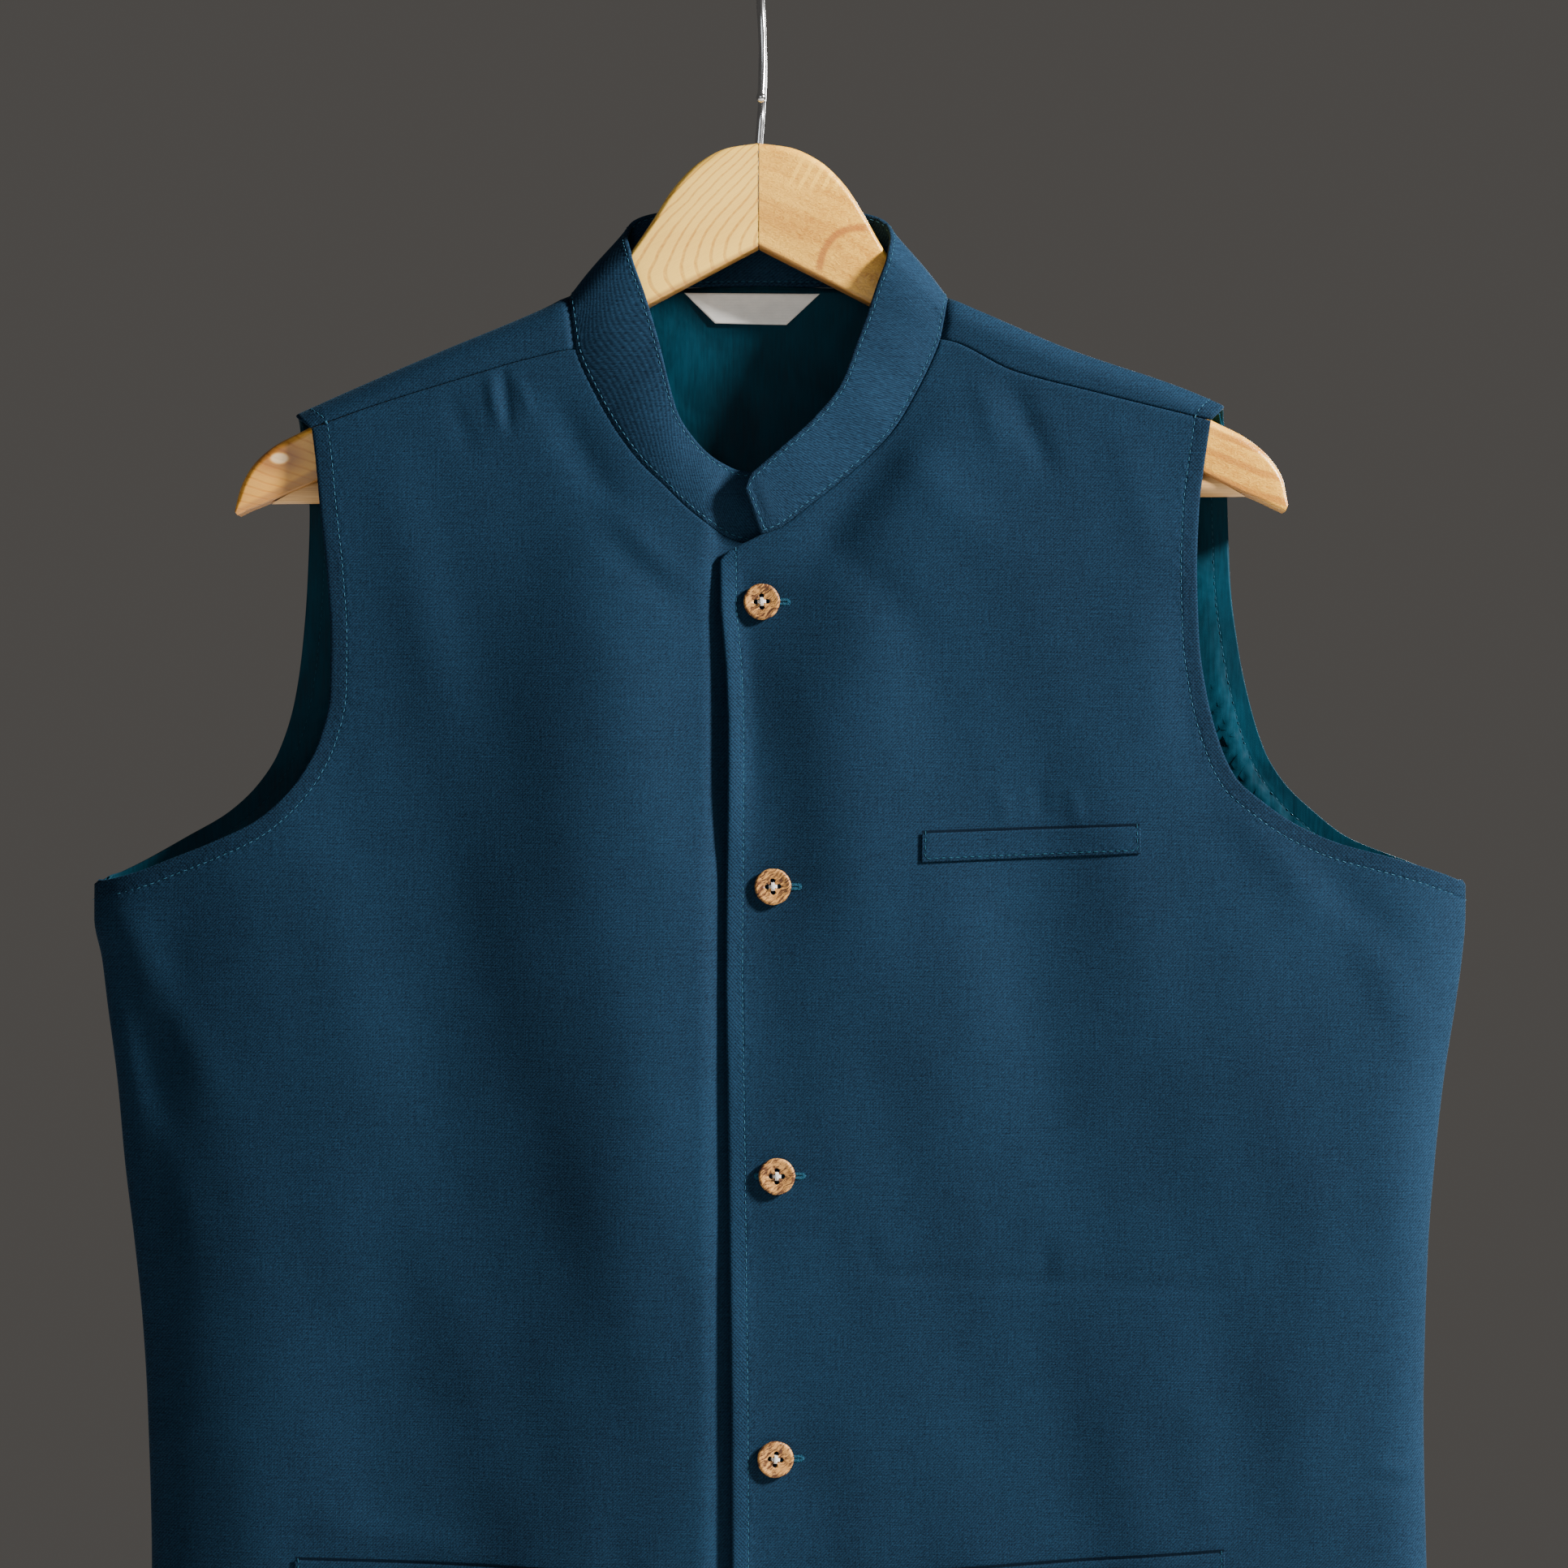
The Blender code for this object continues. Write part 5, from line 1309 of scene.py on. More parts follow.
def make_front(name, rows, side, surface, finishes):
    points, on_side = front_points(rows, side, surface)
    normals = grid_normals(points, -side)
    normals[on_side, 0, 1] = 0.0
    normals = unit(normals)
    rim = np.minimum(run_lengths(points, 0), run_lengths(points, 1))
    outer, inner = wall_sides(points, normals, FRONT_WALL, rim)
    inner[..., 1] = np.minimum(inner[..., 1], -SEAM / 2.0)
    underarm = int(np.argmax(on_side))
    armhole = rim_distance(points, points[:underarm + 1, 0])
    lifted = points + normals * STITCH_LIFT
    routes = [offset_route(lifted, armhole, TOPSTITCH_INSET)]
    edge = armhole
    if side > 0:
        first = int(np.argmax(-points[:, -1, 2] > PLACKET_STITCH_START))
        line = points[first:, -1]
        above = line[0] + unit(line[0] - line[PLACKET_LEAD]) * PLACKET_RISE
        placket = rim_distance(points, np.vstack([above, line]))
        edge = np.minimum(armhole, placket)
        routes.append(offset_route(lifted, placket, TOPSTITCH_INSET, from_end=True))
    cloth = np.stack([points[..., 0], -points[..., 2], edge], axis=-1)
    panel = add_shell(name, outer, inner, np.ones(points.shape[:2], bool), cloth, finishes)
    lay_sheet(panel, name)
    return routes


def offset_route(points, distance, inset, from_end=False):
    """The line at one distance from a panel's edge, a point for each row that reaches it."""
    route = []
    for row, away in zip(points, distance):
        if from_end:
            row = row[::-1]
            away = away[::-1]
        if away[0] >= inset:
            continue
        j = int(np.argmax(away > inset))
        share = (inset - away[j - 1]) / (away[j] - away[j - 1])
        route.append(row[j - 1] + (row[j] - row[j - 1]) * share)
    return np.array(route)


def back_columns():
    """Where the back's columns start on the top line, and their shoulder seam corners."""
    width = NECK_POINT - RIDGE["x"][0]
    head = np.array(EDGE_STEPS) / width
    shoulder = np.concatenate([head, np.linspace(head[-1], 1.0, BACK_SHOULDER_COLUMNS + 1)[1:-1]])
    left_x = RIDGE["x"][0] + (-NECK_POINT - RIDGE["x"][0]) * shoulder
    right_x = (RIDGE["x"][-1] + (NECK_POINT - RIDGE["x"][-1]) * shoulder)[::-1]
    fine = np.linspace(COLLAR_LEFT_RIDGE, COLLAR_RIGHT_RIDGE, FINE_SAMPLES)
    neckline = stack(neck_x(fine), back_y(neck_x(fine), neck_drop(fine)), neck_drop(fine))
    run = np.append(0.0, np.cumsum(np.linalg.norm(np.diff(neckline, axis=0), axis=-1)))
    station = np.interp(np.linspace(0.0, run[-1], BACK_NECK_COLUMNS), run, fine)
    top_x = np.concatenate([left_x, neck_x(station), right_x])
    top_drop = np.concatenate([ridge_drop(left_x), neck_drop(station), ridge_drop(right_x)])
    first = len(left_x)
    last = len(top_x) - 1 - len(right_x)
    seam_x = np.zeros(len(top_x))
    share = np.append(shoulder, 1.0)
    seam_x[:first + 1] = shoulder_seam_line(-1, share)[0]
    seam_x[last:] = shoulder_seam_line(1, share)[0][::-1]
    return top_x, top_drop, seam_x, first, last


def back_points():
    """Points of the back: over the shoulders, round the neck and down to the hem."""
    top_x, top_drop, seam_x, first, last = back_columns()
    count = len(top_x)
    on_shoulder = np.ones(count, bool)
    on_shoulder[first + 1:last] = False
    rows = []
    used = []
    for share in BACK_WRAP_SHARES:
        x = top_x + (seam_x - top_x) * share
        drop = top_drop + (shoulder_seam_drop(seam_x) - top_drop) * share
        for j, ridge, seam in ((first, COLLAR_LEFT_RIDGE, COLLAR_LEFT_SEAM),
                               (last, COLLAR_RIGHT_RIDGE, COLLAR_RIGHT_SEAM)):
            station = ridge + (seam - ridge) * share
            near = 1.0 - smoothstep(np.abs(top_x - top_x[j]) / NECK_JOIN)
            x = x + (neck_x(station) - x[j]) * near
            drop = drop + (neck_drop(station) - drop[j]) * near
        rows.append(stack(x, front_y(x, drop), drop - SHOULDER_SEAM_GAP / 2.0 * share))
        used.append(on_shoulder)
    armhole_left = smooth_curve(BACK_EDGE["drop"], BACK_EDGE["left"])
    armhole_right = smooth_curve(BACK_EDGE["drop"], BACK_EDGE["right"])
    top_share = (top_x - top_x[0]) / (top_x[-1] - top_x[0])
    halves = 1.0 - np.array(BACK_TOP_SHARES[-2::-1])
    coarse_top = np.concatenate([BACK_TOP_SHARES, halves])
    coarse_low = np.concatenate([BACK_LOWER_SHARES, 1.0 - np.array(BACK_LOWER_SHARES[-2::-1])])
    low_gaps = np.diff(np.interp(top_share, coarse_top, coarse_low))
    low_gaps[first:last] = np.maximum(low_gaps[first:last], BACK_COLUMN_GAP)
    low_share = np.append(0.0, np.cumsum(low_gaps)) / low_gaps.sum()
    reach = UNDERARM_DROP - RIDGE["drop"].min()
    head = np.array(EDGE_STEPS) / reach
    shares = np.concatenate([head, np.linspace(head[-1], 1.0, int(reach / GRID_STEP))[1:]])
    for share in shares:
        drop = top_drop + (UNDERARM_DROP - top_drop) * share
        left = armhole_left(drop[0])
        right = armhole_right(drop[-1])
        mixed = top_share + (low_share - top_share) * smoothstep(share / BACK_SPREAD_END)
        hold = smoothstep(share / BACK_NECK_HOLD)
        weight = hold + (1.0 - hold) * np.clip((np.abs(top_x) - NECK_POINT) / SEAM_BEND_FADE, 0.0, 1.0)
        x = top_x + (left + (right - left) * mixed - top_x) * weight
        rows.append(stack(x, back_y(x, drop), drop))
        used.append(np.ones(count, bool))
    first_side = len(rows) - 1
    tail = HEM_DROP - np.array(EDGE_STEPS[::-1])
    below = np.linspace(UNDERARM_DROP, tail[0], int((HEM_DROP - UNDERARM_DROP) / GRID_STEP))
    for level in np.concatenate([below[1:-1], tail]):
        left = side_left(level)
        x = left + (side_right(level) - left) * low_share
        rows.append(stack(x, back_y(x, level), level))
        used.append(np.ones(count, bool))
    points = np.array(rows)
    points[first_side:, :, 1] = np.maximum(points[first_side:, :, 1], SEAM / 2.0)
    points[first_side:, 0, 1] = SEAM / 2.0
    points[first_side:, -1, 1] = SEAM / 2.0
    return points, np.array(used), first_side


def masked_normals(points, used, sign):
    """Grid normals, with the wrap rows' own where the neck leaves a gap above the back."""
    top = len(BACK_WRAP_SHARES)
    normals = grid_normals(points[top:], sign)
    normals = np.concatenate([np.zeros(points[:top].shape), normals])
    open_columns = np.flatnonzero(~used[0])
    for block in (slice(None, open_columns[0]), slice(open_columns[-1] + 1, None)):
        own = grid_normals(points[:top + 3, block], sign)
        normals[:top + 2, block] = own[:top + 2]
    return normals


def make_back(finishes, lining):
    points, used, first_side = back_points()
    normals = masked_normals(points, used, -1.0)
    normals[first_side:, 0, 1] = 0.0
    normals[first_side:, -1, 1] = 0.0
    normals = unit(normals)
    top = len(BACK_WRAP_SHARES)
    rim = np.minimum(run_lengths(points, 0), run_lengths(points, 1))
    neck_columns = ~used[0]
    gap = np.flatnonzero(neck_columns)
    for block in (slice(None, gap[0]), slice(gap[-1] + 1, None)):
        rim[:top, block] = np.minimum(rim[:top, block], run_lengths(points[:top, block], 1))
    down = np.cumsum(np.linalg.norm(np.diff(points[top:], axis=0), axis=-1), axis=0)
    neck_rim = np.concatenate([np.zeros((1, points.shape[1])), down])
    rim[top:, neck_columns] = np.minimum(rim[top:, neck_columns], neck_rim[:, neck_columns])
    outer, inner = wall_sides(points, normals, BACK_WALL, rim)
    below = np.arange(len(points)) >= first_side
    inner[below, :, 1] = np.maximum(inner[below, :, 1], SEAM / 2.0)
    left = rim_distance(points, points[:first_side + 1, 0])
    right = rim_distance(points, points[:first_side + 1, -1])
    cloth = np.stack([points[..., 0] + BACK_CLOTH_SHIFT, -points[..., 2], np.minimum(left, right)], axis=-1)
    panel = add_shell("back", outer, inner, used, cloth, finishes)
    lay_sheet(panel, "back")
    make_lining(points, normals, np.minimum(left, right), cloth, lining)
    inside = points - normals * (BACK_WALL + LINING_GAP + LINING_WALL + STITCH_LIFT)
    lifted = points + normals * STITCH_LIFT
    below_top = slice(top + LINING_TOP_ROWS, None)
    outside = [offset_route(lifted, left, TOPSTITCH_INSET),
               offset_route(lifted, right, TOPSTITCH_INSET, from_end=True)]
    within = [offset_route(inside[below_top], left[below_top], TOPSTITCH_INSET),
              offset_route(inside[below_top], right[below_top], TOPSTITCH_INSET, from_end=True)]
    return outside, within


def make_lining(points, normals, edge, cloth, finish):
    """The lining hangs inside the back and puckers along the armholes."""
    top = len(BACK_WRAP_SHARES)
    drop = -points[..., 2]
    phase = (drop - edge * PUCKER_SLANT) * (TAU / PUCKER_LENGTH) + 2.6 * np.sin(drop / PUCKER_DRIFT)
    pull = smoothstep((edge - TOPSTITCH_INSET) / PUCKER_WIDTH)
    pull = pull * smoothstep((PUCKER_REACH - edge) / PUCKER_REACH)
    gathered = 0.35 + np.exp(-((drop - PUCKER_DROP) / PUCKER_SPREAD) ** 2)
    pucker = PUCKER_HEIGHT * gathered * (0.5 + 0.5 * np.sin(phase)) * pull
    outside = points - normals * (BACK_WALL + LINING_GAP)
    inside = outside - normals * (LINING_WALL + pucker)[..., None]
    used = np.ones(points.shape[:2], bool)
    used[:top + LINING_TOP_ROWS] = False
    used[:, :LINING_EDGE_COLUMNS] = False
    used[:, -LINING_EDGE_COLUMNS:] = False
    used &= drop < HEM_DROP - LINING_HEM
    piece = add_shell("back_lining", outside, inside, used, cloth, [finish])
    lay_sheet(piece, "back_lining")


# Collar, welts and label

def neck_seam_y(station):
    """Depth of the neckline at a place on the collar's seam."""
    x = neck_x(station)
    drop = neck_drop(station)
    y = front_y(x, drop)
    y = np.where(station < COLLAR_LEFT_SEAM, underlap_y(x, drop, x), y)
    y = np.where(station > COLLAR_RIGHT_SEAM, overlap_y(x, drop, x), y)
    behind = (station > COLLAR_LEFT_RIDGE) & (station < COLLAR_RIGHT_RIDGE)
    return np.where(behind, back_y(x, drop), y)


def make_collar(finish):
    """A fused band that stands on the neckline, its ends apart."""
    end_steps = np.array(EDGE_STEPS[:5])
    head = end_steps / COLLAR_START_STATION
    tail = COLLAR_END - end_steps[::-1] / COLLAR_END_STATION
    middle = np.arange(head[-1] + COLLAR_STEP, tail[0], COLLAR_STEP)
    station = np.concatenate([head, middle, tail])
    top = stack(smooth_curve(stations, COLLAR["top_x"])(station),
                smooth_curve(stations, COLLAR["top_y"])(station),
                smooth_curve(stations, COLLAR["top_drop"])(station))
    seam = stack(neck_x(station), neck_seam_y(station), neck_drop(station))
    foot = seam + unit(top - seam) * COLLAR_SEAM
    share = np.array(COLLAR_ROWS)[:, None, None]
    points = foot + (top - foot) * share
    points = points + grid_normals(points, 1.0) * COLLAR_BULGE * np.sin(math.pi * share)
    wave = np.sin(station * 2.1) + np.sin(station * 3.7 + 1.0)
    points[..., 1] += COLLAR_WAVE * wave * np.sin(math.pi * share[..., 0])
    normals = grid_normals(points, 1.0)
    from_seam = run_lengths(points, 0)
    from_end = run_lengths(points, 1)
    outer, inner = wall_sides(points, normals, COLLAR_WALL, np.minimum(from_seam, from_end))
    along = np.broadcast_to(station * COLLAR_START_STATION, from_seam.shape)
    cloth = np.stack([along, -points[..., 2], np.minimum(from_seam, from_end)], axis=-1)
    collar = add_shell("collar", outer, inner, np.ones(from_seam.shape, bool), cloth, [finish])
    lay_sheet(collar, "collar")
    routes = []
    open_span = from_end[0] > COLLAR_STITCH_INSET
    for face in (points + normals * STITCH_LIFT, points - normals * (COLLAR_WALL + STITCH_LIFT)):
        columns = face[:, open_span].transpose(1, 0, 2)
        distance = from_seam[:, open_span].T
        routes.append(offset_route(columns, distance, COLLAR_STITCH_INSET))
        routes.append(offset_route(columns, distance, COLLAR_STITCH_INSET, from_end=True))
    band = (from_seam[:, -1] > COLLAR_STITCH_INSET)
    lifted = points + normals * STITCH_LIFT
    routes.append(offset_route(lifted[band], from_end[band], COLLAR_STITCH_INSET, from_end=True))
    return routes


def patch_points(corners, columns, rows):
    """Places between four corners, two along the top and two along the foot."""
    top_start, top_end, foot_start, foot_end = (np.array(corner) for corner in corners)
    across = columns[None, :, None]
    down = rows[:, None, None]
    top = top_start + (top_end - top_start) * across
    foot = foot_start + (foot_end - foot_start) * across
    return top + (foot - top) * down


def corner_shares(corners):
    """Graded shares across and down a patch."""
    width = np.linalg.norm(np.array(corners[1]) - np.array(corners[0]))
    height = np.linalg.norm(np.array(corners[2]) - np.array(corners[0]))
    head = np.array(EDGE_STEPS[:5])
    wide = np.concatenate([head, np.linspace(head[-1], width - head[-1], int(width / 2.0))[1:-1],
                           width - head[::-1]]) / width
    high = np.concatenate([head, np.linspace(head[-1], height - head[-1], 8)[1:-1],
                           height - head[::-1]]) / height
    return wide, high


def make_welt(name, surface, finish):
    """A pocket welt sewn down along its foot and both ends, its top edge free."""
    corners = WELTS[name]
    wide, high = corner_shares(corners)
    flat = patch_points(corners, wide, high)
    x = flat[..., 0]
    drop = flat[..., 1]
    base = stack(x, surface(x, drop), drop)
    normals = grid_normals(base, 1.0)
    normals = np.where(normals[..., 1:2] > 0.0, -normals, normals)
    gape = WELT_GAPE * np.sin(math.pi * wide)[None, :] * (1.0 - high)[:, None] ** 2
    points = base + normals * (WELT_GAP + WELT_WALL + gape)[..., None]
    from_top = run_lengths(points, 0)
    from_end = run_lengths(points, 1)
    outer, inner = wall_sides(points, normals, WELT_WALL, np.minimum(from_top, from_end))
    sewn = np.where(high[:, None] > 0.5, np.minimum(from_top, from_end), from_end)
    cloth = np.stack([x, drop, sewn], axis=-1)
    welt = add_shell(name, outer, inner, np.ones(x.shape, bool), cloth, [finish])
    lay_sheet(welt, name)
    lifted = points + normals * STITCH_LIFT
    inset = int(np.argmax(wide * np.linalg.norm(np.array(corners[1]) - corners[0]) > WELT_STITCH_INSET))
    low = int(np.argmin(np.abs(from_top[len(high) // 2:, 0] - WELT_STITCH_INSET))) + len(high) // 2
    down = lifted[:low + 1, inset]
    along = lifted[low, inset:len(wide) - inset]
    up = lifted[low::-1, len(wide) - 1 - inset]
    return [np.concatenate([down, along[1:-1], up])]


def make_label(finish):
    """A bare tape folded under and sewn on at the back neck."""
    wide, high = corner_shares(LABEL_CORNERS)
    flat = patch_points(LABEL_CORNERS, wide, high)
    x = flat[..., 0]
    drop = flat[..., 1]
    depth = back_y(x, drop) - BACK_WALL - LINING_GAP - LINING_WALL - LABEL_GAP
    hang = LABEL_HANG * high[:, None] ** 1.5 * (1.0 - 0.5 * np.abs(2.0 * wide - 1.0))[None, :]
    wave = LABEL_WAVE * np.sin(wide * 7.0 + 0.6)[None, :] * high[:, None]
    points = stack(x, depth - hang - wave - LABEL_WALL, drop)
    normals = grid_normals(points, 1.0)
    normals = np.where(normals[..., 1:2] > 0.0, -normals, normals)
    rim = np.minimum(run_lengths(points, 0), run_lengths(points, 1))
    outer, inner = wall_sides(points, normals, LABEL_WALL, rim)
    cloth = np.stack([x, drop, rim], axis=-1)
    label = add_shell("label", outer, inner, np.ones(x.shape, bool), cloth, [finish])
    lay_sheet(label, "label")


# Round pieces

def smooth_route(points, steps):
    """A smooth line through a few points."""
    points = np.asarray(points, float)
    padded = np.concatenate([2.0 * points[:1] - points[1:2], points, 2.0 * points[-1:] - points[-2:-1]])
    route = []
    for k in range(len(points) - 1):
        a, b, c, d = padded[k:k + 4]
        for step in range(steps):
            t = step / steps
            route.append(0.5 * (2.0 * b + (c - a) * t + (2.0 * a - 5.0 * b + 4.0 * c - d) * t * t
                                + (3.0 * b - a - 3.0 * c + d) * t ** 3))
    route.append(points[-1])
    return np.array(route)


def add_tube(bm, route, radius, sides):
    """A round tube along a line of points, closed at both ends."""
    rings = []
    tangents = unit(np.gradient(np.asarray(route, float), axis=0))
    side = np.cross(tangents[0], (0.3, 0.2, 0.9))
    for point, tangent in zip(route, tangents):
        side = unit(side - tangent * (side @ tangent))
        up = np.cross(tangent, side)
        ring = []
        for k in range(sides):
            angle = TAU * k / sides
            place = point + (side * math.cos(angle) + up * math.sin(angle)) * radius
            ring.append(bm.verts.new(Vector(place * MM)))
        rings.append(ring)
    for first, second in zip(rings, rings[1:]):
        for k in range(sides):
            after = (k + 1) % sides
            bm.faces.new([first[k], first[after], second[after], second[k]])
    bm.faces.new(rings[0][::-1])
    bm.faces.new(rings[-1])


def add_piece(name, bm, finish, angle=40.0):
    bmesh.ops.recalc_face_normals(bm, faces=bm.faces[:])
    mesh = bpy.data.meshes.new(name)
    bm.to_mesh(mesh)
    bm.free()
    mesh.shade_smooth()
    mesh.set_sharp_from_angle(angle=math.radians(angle))
    mesh.materials.append(finish)
    return link(bpy.data.objects.new(name, mesh))


def freeze(item):
    """Make a piece with modifiers a plain mesh with its place in it."""
    depsgraph = bpy.context.evaluated_depsgraph_get()
    mesh = bpy.data.meshes.new_from_object(item.evaluated_get(depsgraph), depsgraph=depsgraph)
    mesh.transform(item.matrix_world)
    item.modifiers.clear()
    item.data = mesh
    item.matrix_world.identity()
    item.location = (0.0, 0.0, 0.0)
    item.rotation_mode = "XYZ"
    item.rotation_euler = (0.0, 0.0, 0.0)


def button_place(name, x, drop):
    """The middle of a button, over its node's, and the way it faces, both from the cloth under it."""
    low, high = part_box(name)
    middle = (Vector(low) + Vector(high)) / 2.0
    reach = BUTTON_DIAMETER / 2.0
    edge = overlap_edge(drop)
    middle.y = (float(overlap_y(x, drop, edge)) - BUTTON_STAND) * MM
    slope_x = float(overlap_y(x + reach, drop, edge) - overlap_y(x - reach, drop, edge)) / (2.0 * reach)
    slope_drop = float(overlap_y(x, drop + reach, edge) - overlap_y(x, drop - reach, edge)) / (2.0 * reach)
    normal = Vector((slope_x, -1.0, -slope_drop)).normalized()
    return middle, Vector((0.0, 0.0, 1.0)).rotation_difference(normal)


def add_disc(bm):
    """A turned disc: a ring of points for each row of its outline, and a point at each middle."""
    radius = BUTTON_DIAMETER / 2.0
    rings = []
    for inset, height in zip(BUTTON_PROFILE["inset"][1:-1], BUTTON_PROFILE["height"][1:-1]):
        ring = []
        for k in range(BUTTON_SIDES):
            angle = TAU * k / BUTTON_SIDES
            uneven = 1.0 + 0.007 * math.sin(3.0 * angle) + 0.006 * math.sin(7.0 * angle + 1.0)
            reach = (radius - inset) * uneven
            place = (reach * math.cos(angle), reach * math.sin(angle), height)
            ring.append(bm.verts.new(Vector(place) * MM))
        rings.append(ring)
    foot = bm.verts.new(Vector((0.0, 0.0, BUTTON_PROFILE["height"][0])) * MM)
    face = bm.verts.new(Vector((0.0, 0.0, BUTTON_PROFILE["height"][-1])) * MM)
    for k in range(BUTTON_SIDES):
        after = (k + 1) % BUTTON_SIDES
        bm.faces.new([foot, rings[0][after], rings[0][k]])
        bm.faces.new([face, rings[-1][k], rings[-1][after]])
        for lower, upper in zip(rings, rings[1:]):
            bm.faces.new([lower[k], lower[after], upper[after], upper[k]])


def make_button(name, x, drop, shell, thread):
    """A four-hole shell button and the thread through its holes."""
    middle, turn = button_place(name, x, drop)
    bm = bmesh.new()
    add_disc(bm)
    button = add_piece(name + "_shell", bm, shell, 50.0)
    holes = bmesh.new()
    for k in range(4):
        angle = TAU / 4.0 * k
        centre = Vector((math.cos(angle), math.sin(angle), 0.0)) * BUTTON_HOLE_RING * MM
        made = bmesh.ops.create_cone(holes, cap_ends=True, segments=BUTTON_HOLE_SIDES,
                                     radius1=BUTTON_HOLE / 2.0 * MM, radius2=BUTTON_HOLE / 2.0 * MM,
                                     depth=6.0 * MM)
        bmesh.ops.translate(holes, verts=made["verts"], vec=centre)
    cutter = add_piece(name + "_holes", holes, shell)
    cut = button.modifiers.new("four_holes", "BOOLEAN")
    cut.operation = "DIFFERENCE"
    cut.object = cutter
    cut.solver = "EXACT"
    button.rotation_mode = "QUATERNION"
    cutter.rotation_mode = "QUATERNION"
    for item in (button, cutter):
        item.rotation_quaternion = turn
        item.location = middle
    bpy.context.view_layer.update()
    freeze(button)
    bpy.data.objects.remove(cutter, do_unlink=True)
    dress(button, (name,))

    strands = bmesh.new()
    for across in (0, 1):
        for k in range(BUTTON_STRANDS):
            shift = (k - (BUTTON_STRANDS - 1) / 2.0) * BUTTON_STRAND_WIDTH * 0.9
            rise = BUTTON_PROFILE["height"][-1] + 0.2 + 0.26 * across + 0.06 * (k % 2)
            reach = BUTTON_HOLE_RING - BUTTON_HOLE / 2.0 + 0.35
            line = [(-reach, shift, -1.0), (-reach * 0.97, shift, rise * 0.2), (-reach * 0.7, shift, rise),
                    (0.0, shift, rise + 0.14), (reach * 0.7, shift, rise), (reach * 0.97, shift, rise * 0.2),
                    (reach, shift, -1.0)]
            if across:
                line = [(side, run, up) for run, side, up in line]
            add_tube(strands, smooth_route(line, 4), BUTTON_STRAND_WIDTH / 2.0, 8)
    shank = np.array([(0.0, 0.0, -2.6), (0.0, 0.0, -2.0), (0.0, 0.0, -1.2)])
    add_tube(strands, shank, BUTTON_HOLE_RING * 0.7, 14)
    sewn = add_piece(name + "_thread", strands, thread)
    sewn.rotation_mode = "QUATERNION"
    sewn.rotation_quaternion = turn
    sewn.location = middle
    bpy.context.view_layer.update()
    freeze(sewn)
    dress(sewn)


# Hanger and hook

def make_arm(name, edges, side, finish):
    """Half of the hanger, from the mitre at the head to the tip, with rounded edges."""
    half = ARM_THICKNESS / 2.0
    index = np.arange(len(edges["top_x"]))
    fine = np.linspace(0.0, index[-1], index[-1] * ARM_SMOOTHING + 1)
    curves = {column: smooth_curve(index, edges[column])(fine) for column in edges}
    bm = bmesh.new()
    rings = []
    for k in range(len(fine)):
        top = np.array([curves["top_x"][k], 0.0, -curves["top_drop"][k]])
        under = np.array([curves["under_x"][k], 0.0, -curves["under_drop"][k]])
        if k == 0:
            top[0] = side * SEAM / 2.0
            under[0] = side * SEAM / 2.0
        down = under - top
        height = np.linalg.norm(down)
        down = down / height
        rounding = min(ARM_EDGE_ROUND, height * ARM_ROUND_LIMIT)
        ring = []
        for base, radius, way in ((top, rounding, 1.0), (under, rounding * ARM_UNDER_ROUND, -1.0)):
            for quarter in (0, 1):
                for step in range(ARM_QUARTER_POINTS):
                    angle = math.pi / 2.0 * (quarter + step / (ARM_QUARTER_POINTS - 1))
                    sign = way if quarter == 0 else -way
                    y = sign * (half - radius) + way * radius * math.cos(angle)
                    inset = way * (radius - radius * math.sin(angle))
                    ring.append(base + down * inset + np.array([0.0, y, 0.0]))
        rings.append([bm.verts.new(Vector(point * MM)) for point in ring])
    size = len(rings[0])
    for first, second in zip(rings, rings[1:]):
        for k in range(size):
            after = (k + 1) % size
            bm.faces.new([first[k], first[after], second[after], second[k]])
    bm.faces.new(rings[0])
    bm.faces.new(rings[-1])
    dress(add_piece(name + "_wood", bm, finish), (name,))


def make_bar(finish):
    """The round bar between the arms, from its node's ends."""
    low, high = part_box("trouser_bar")
    low = np.array(low) / MM
    high = np.array(high) / MM
    radius = BAR_DIAMETER / 2.0
    bm = bmesh.new()
    ends = []
    for x, cut in ((low[0], 1.0), (high[0], -1.0)):
        ring = []
        for k in range(BAR_SIDES):
            angle = TAU * k / BAR_SIDES
            up = radius * math.cos(angle)
            share = (x - low[0]) / (high[0] - low[0])
            middle = BAR_DROP_LEFT + (BAR_DROP_RIGHT - BAR_DROP_LEFT) * share
            at_x = x + cut * (up + radius) * BAR_CUT_SLOPE
            ring.append(bm.verts.new(Vector((at_x, radius * math.sin(angle), up - middle)) * MM))
        ends.append(ring)
    for k in range(BAR_SIDES):
        after = (k + 1) % BAR_SIDES
        bm.faces.new([ends[0][k], ends[0][after], ends[1][after], ends[1][k]])
    bm.faces.new(ends[0])
    bm.faces.new(ends[1])
    dress(add_piece("trouser_bar_wood", bm, finish), ("trouser_bar",))


def hook_route():
    """The wire's middle line: shank, bend to the back, round over the top, and the tip."""
    centre_drop = HOOK_RADIUS - HOOK_WIRE / 2.0
    route = [(0.0, HOOK_FOOT_DROP), *HOOK_STEM]
    for step in range(HOOK_TURN_STEPS + 1):
        angle = math.pi * step / HOOK_TURN_STEPS
        route.append((HOOK_RADIUS * math.cos(angle), centre_drop - HOOK_RADIUS * math.sin(angle)))
    route += HOOK_END
    points = []
    for y, drop in route:
        bow = HOOK_BOW * math.sin(math.pi * max(0.0, min(1.0, drop / HOOK_FOOT_DROP)))
        points.append((bow, y, -drop))
    return smooth_route(points, HOOK_ROUTE_STEPS)


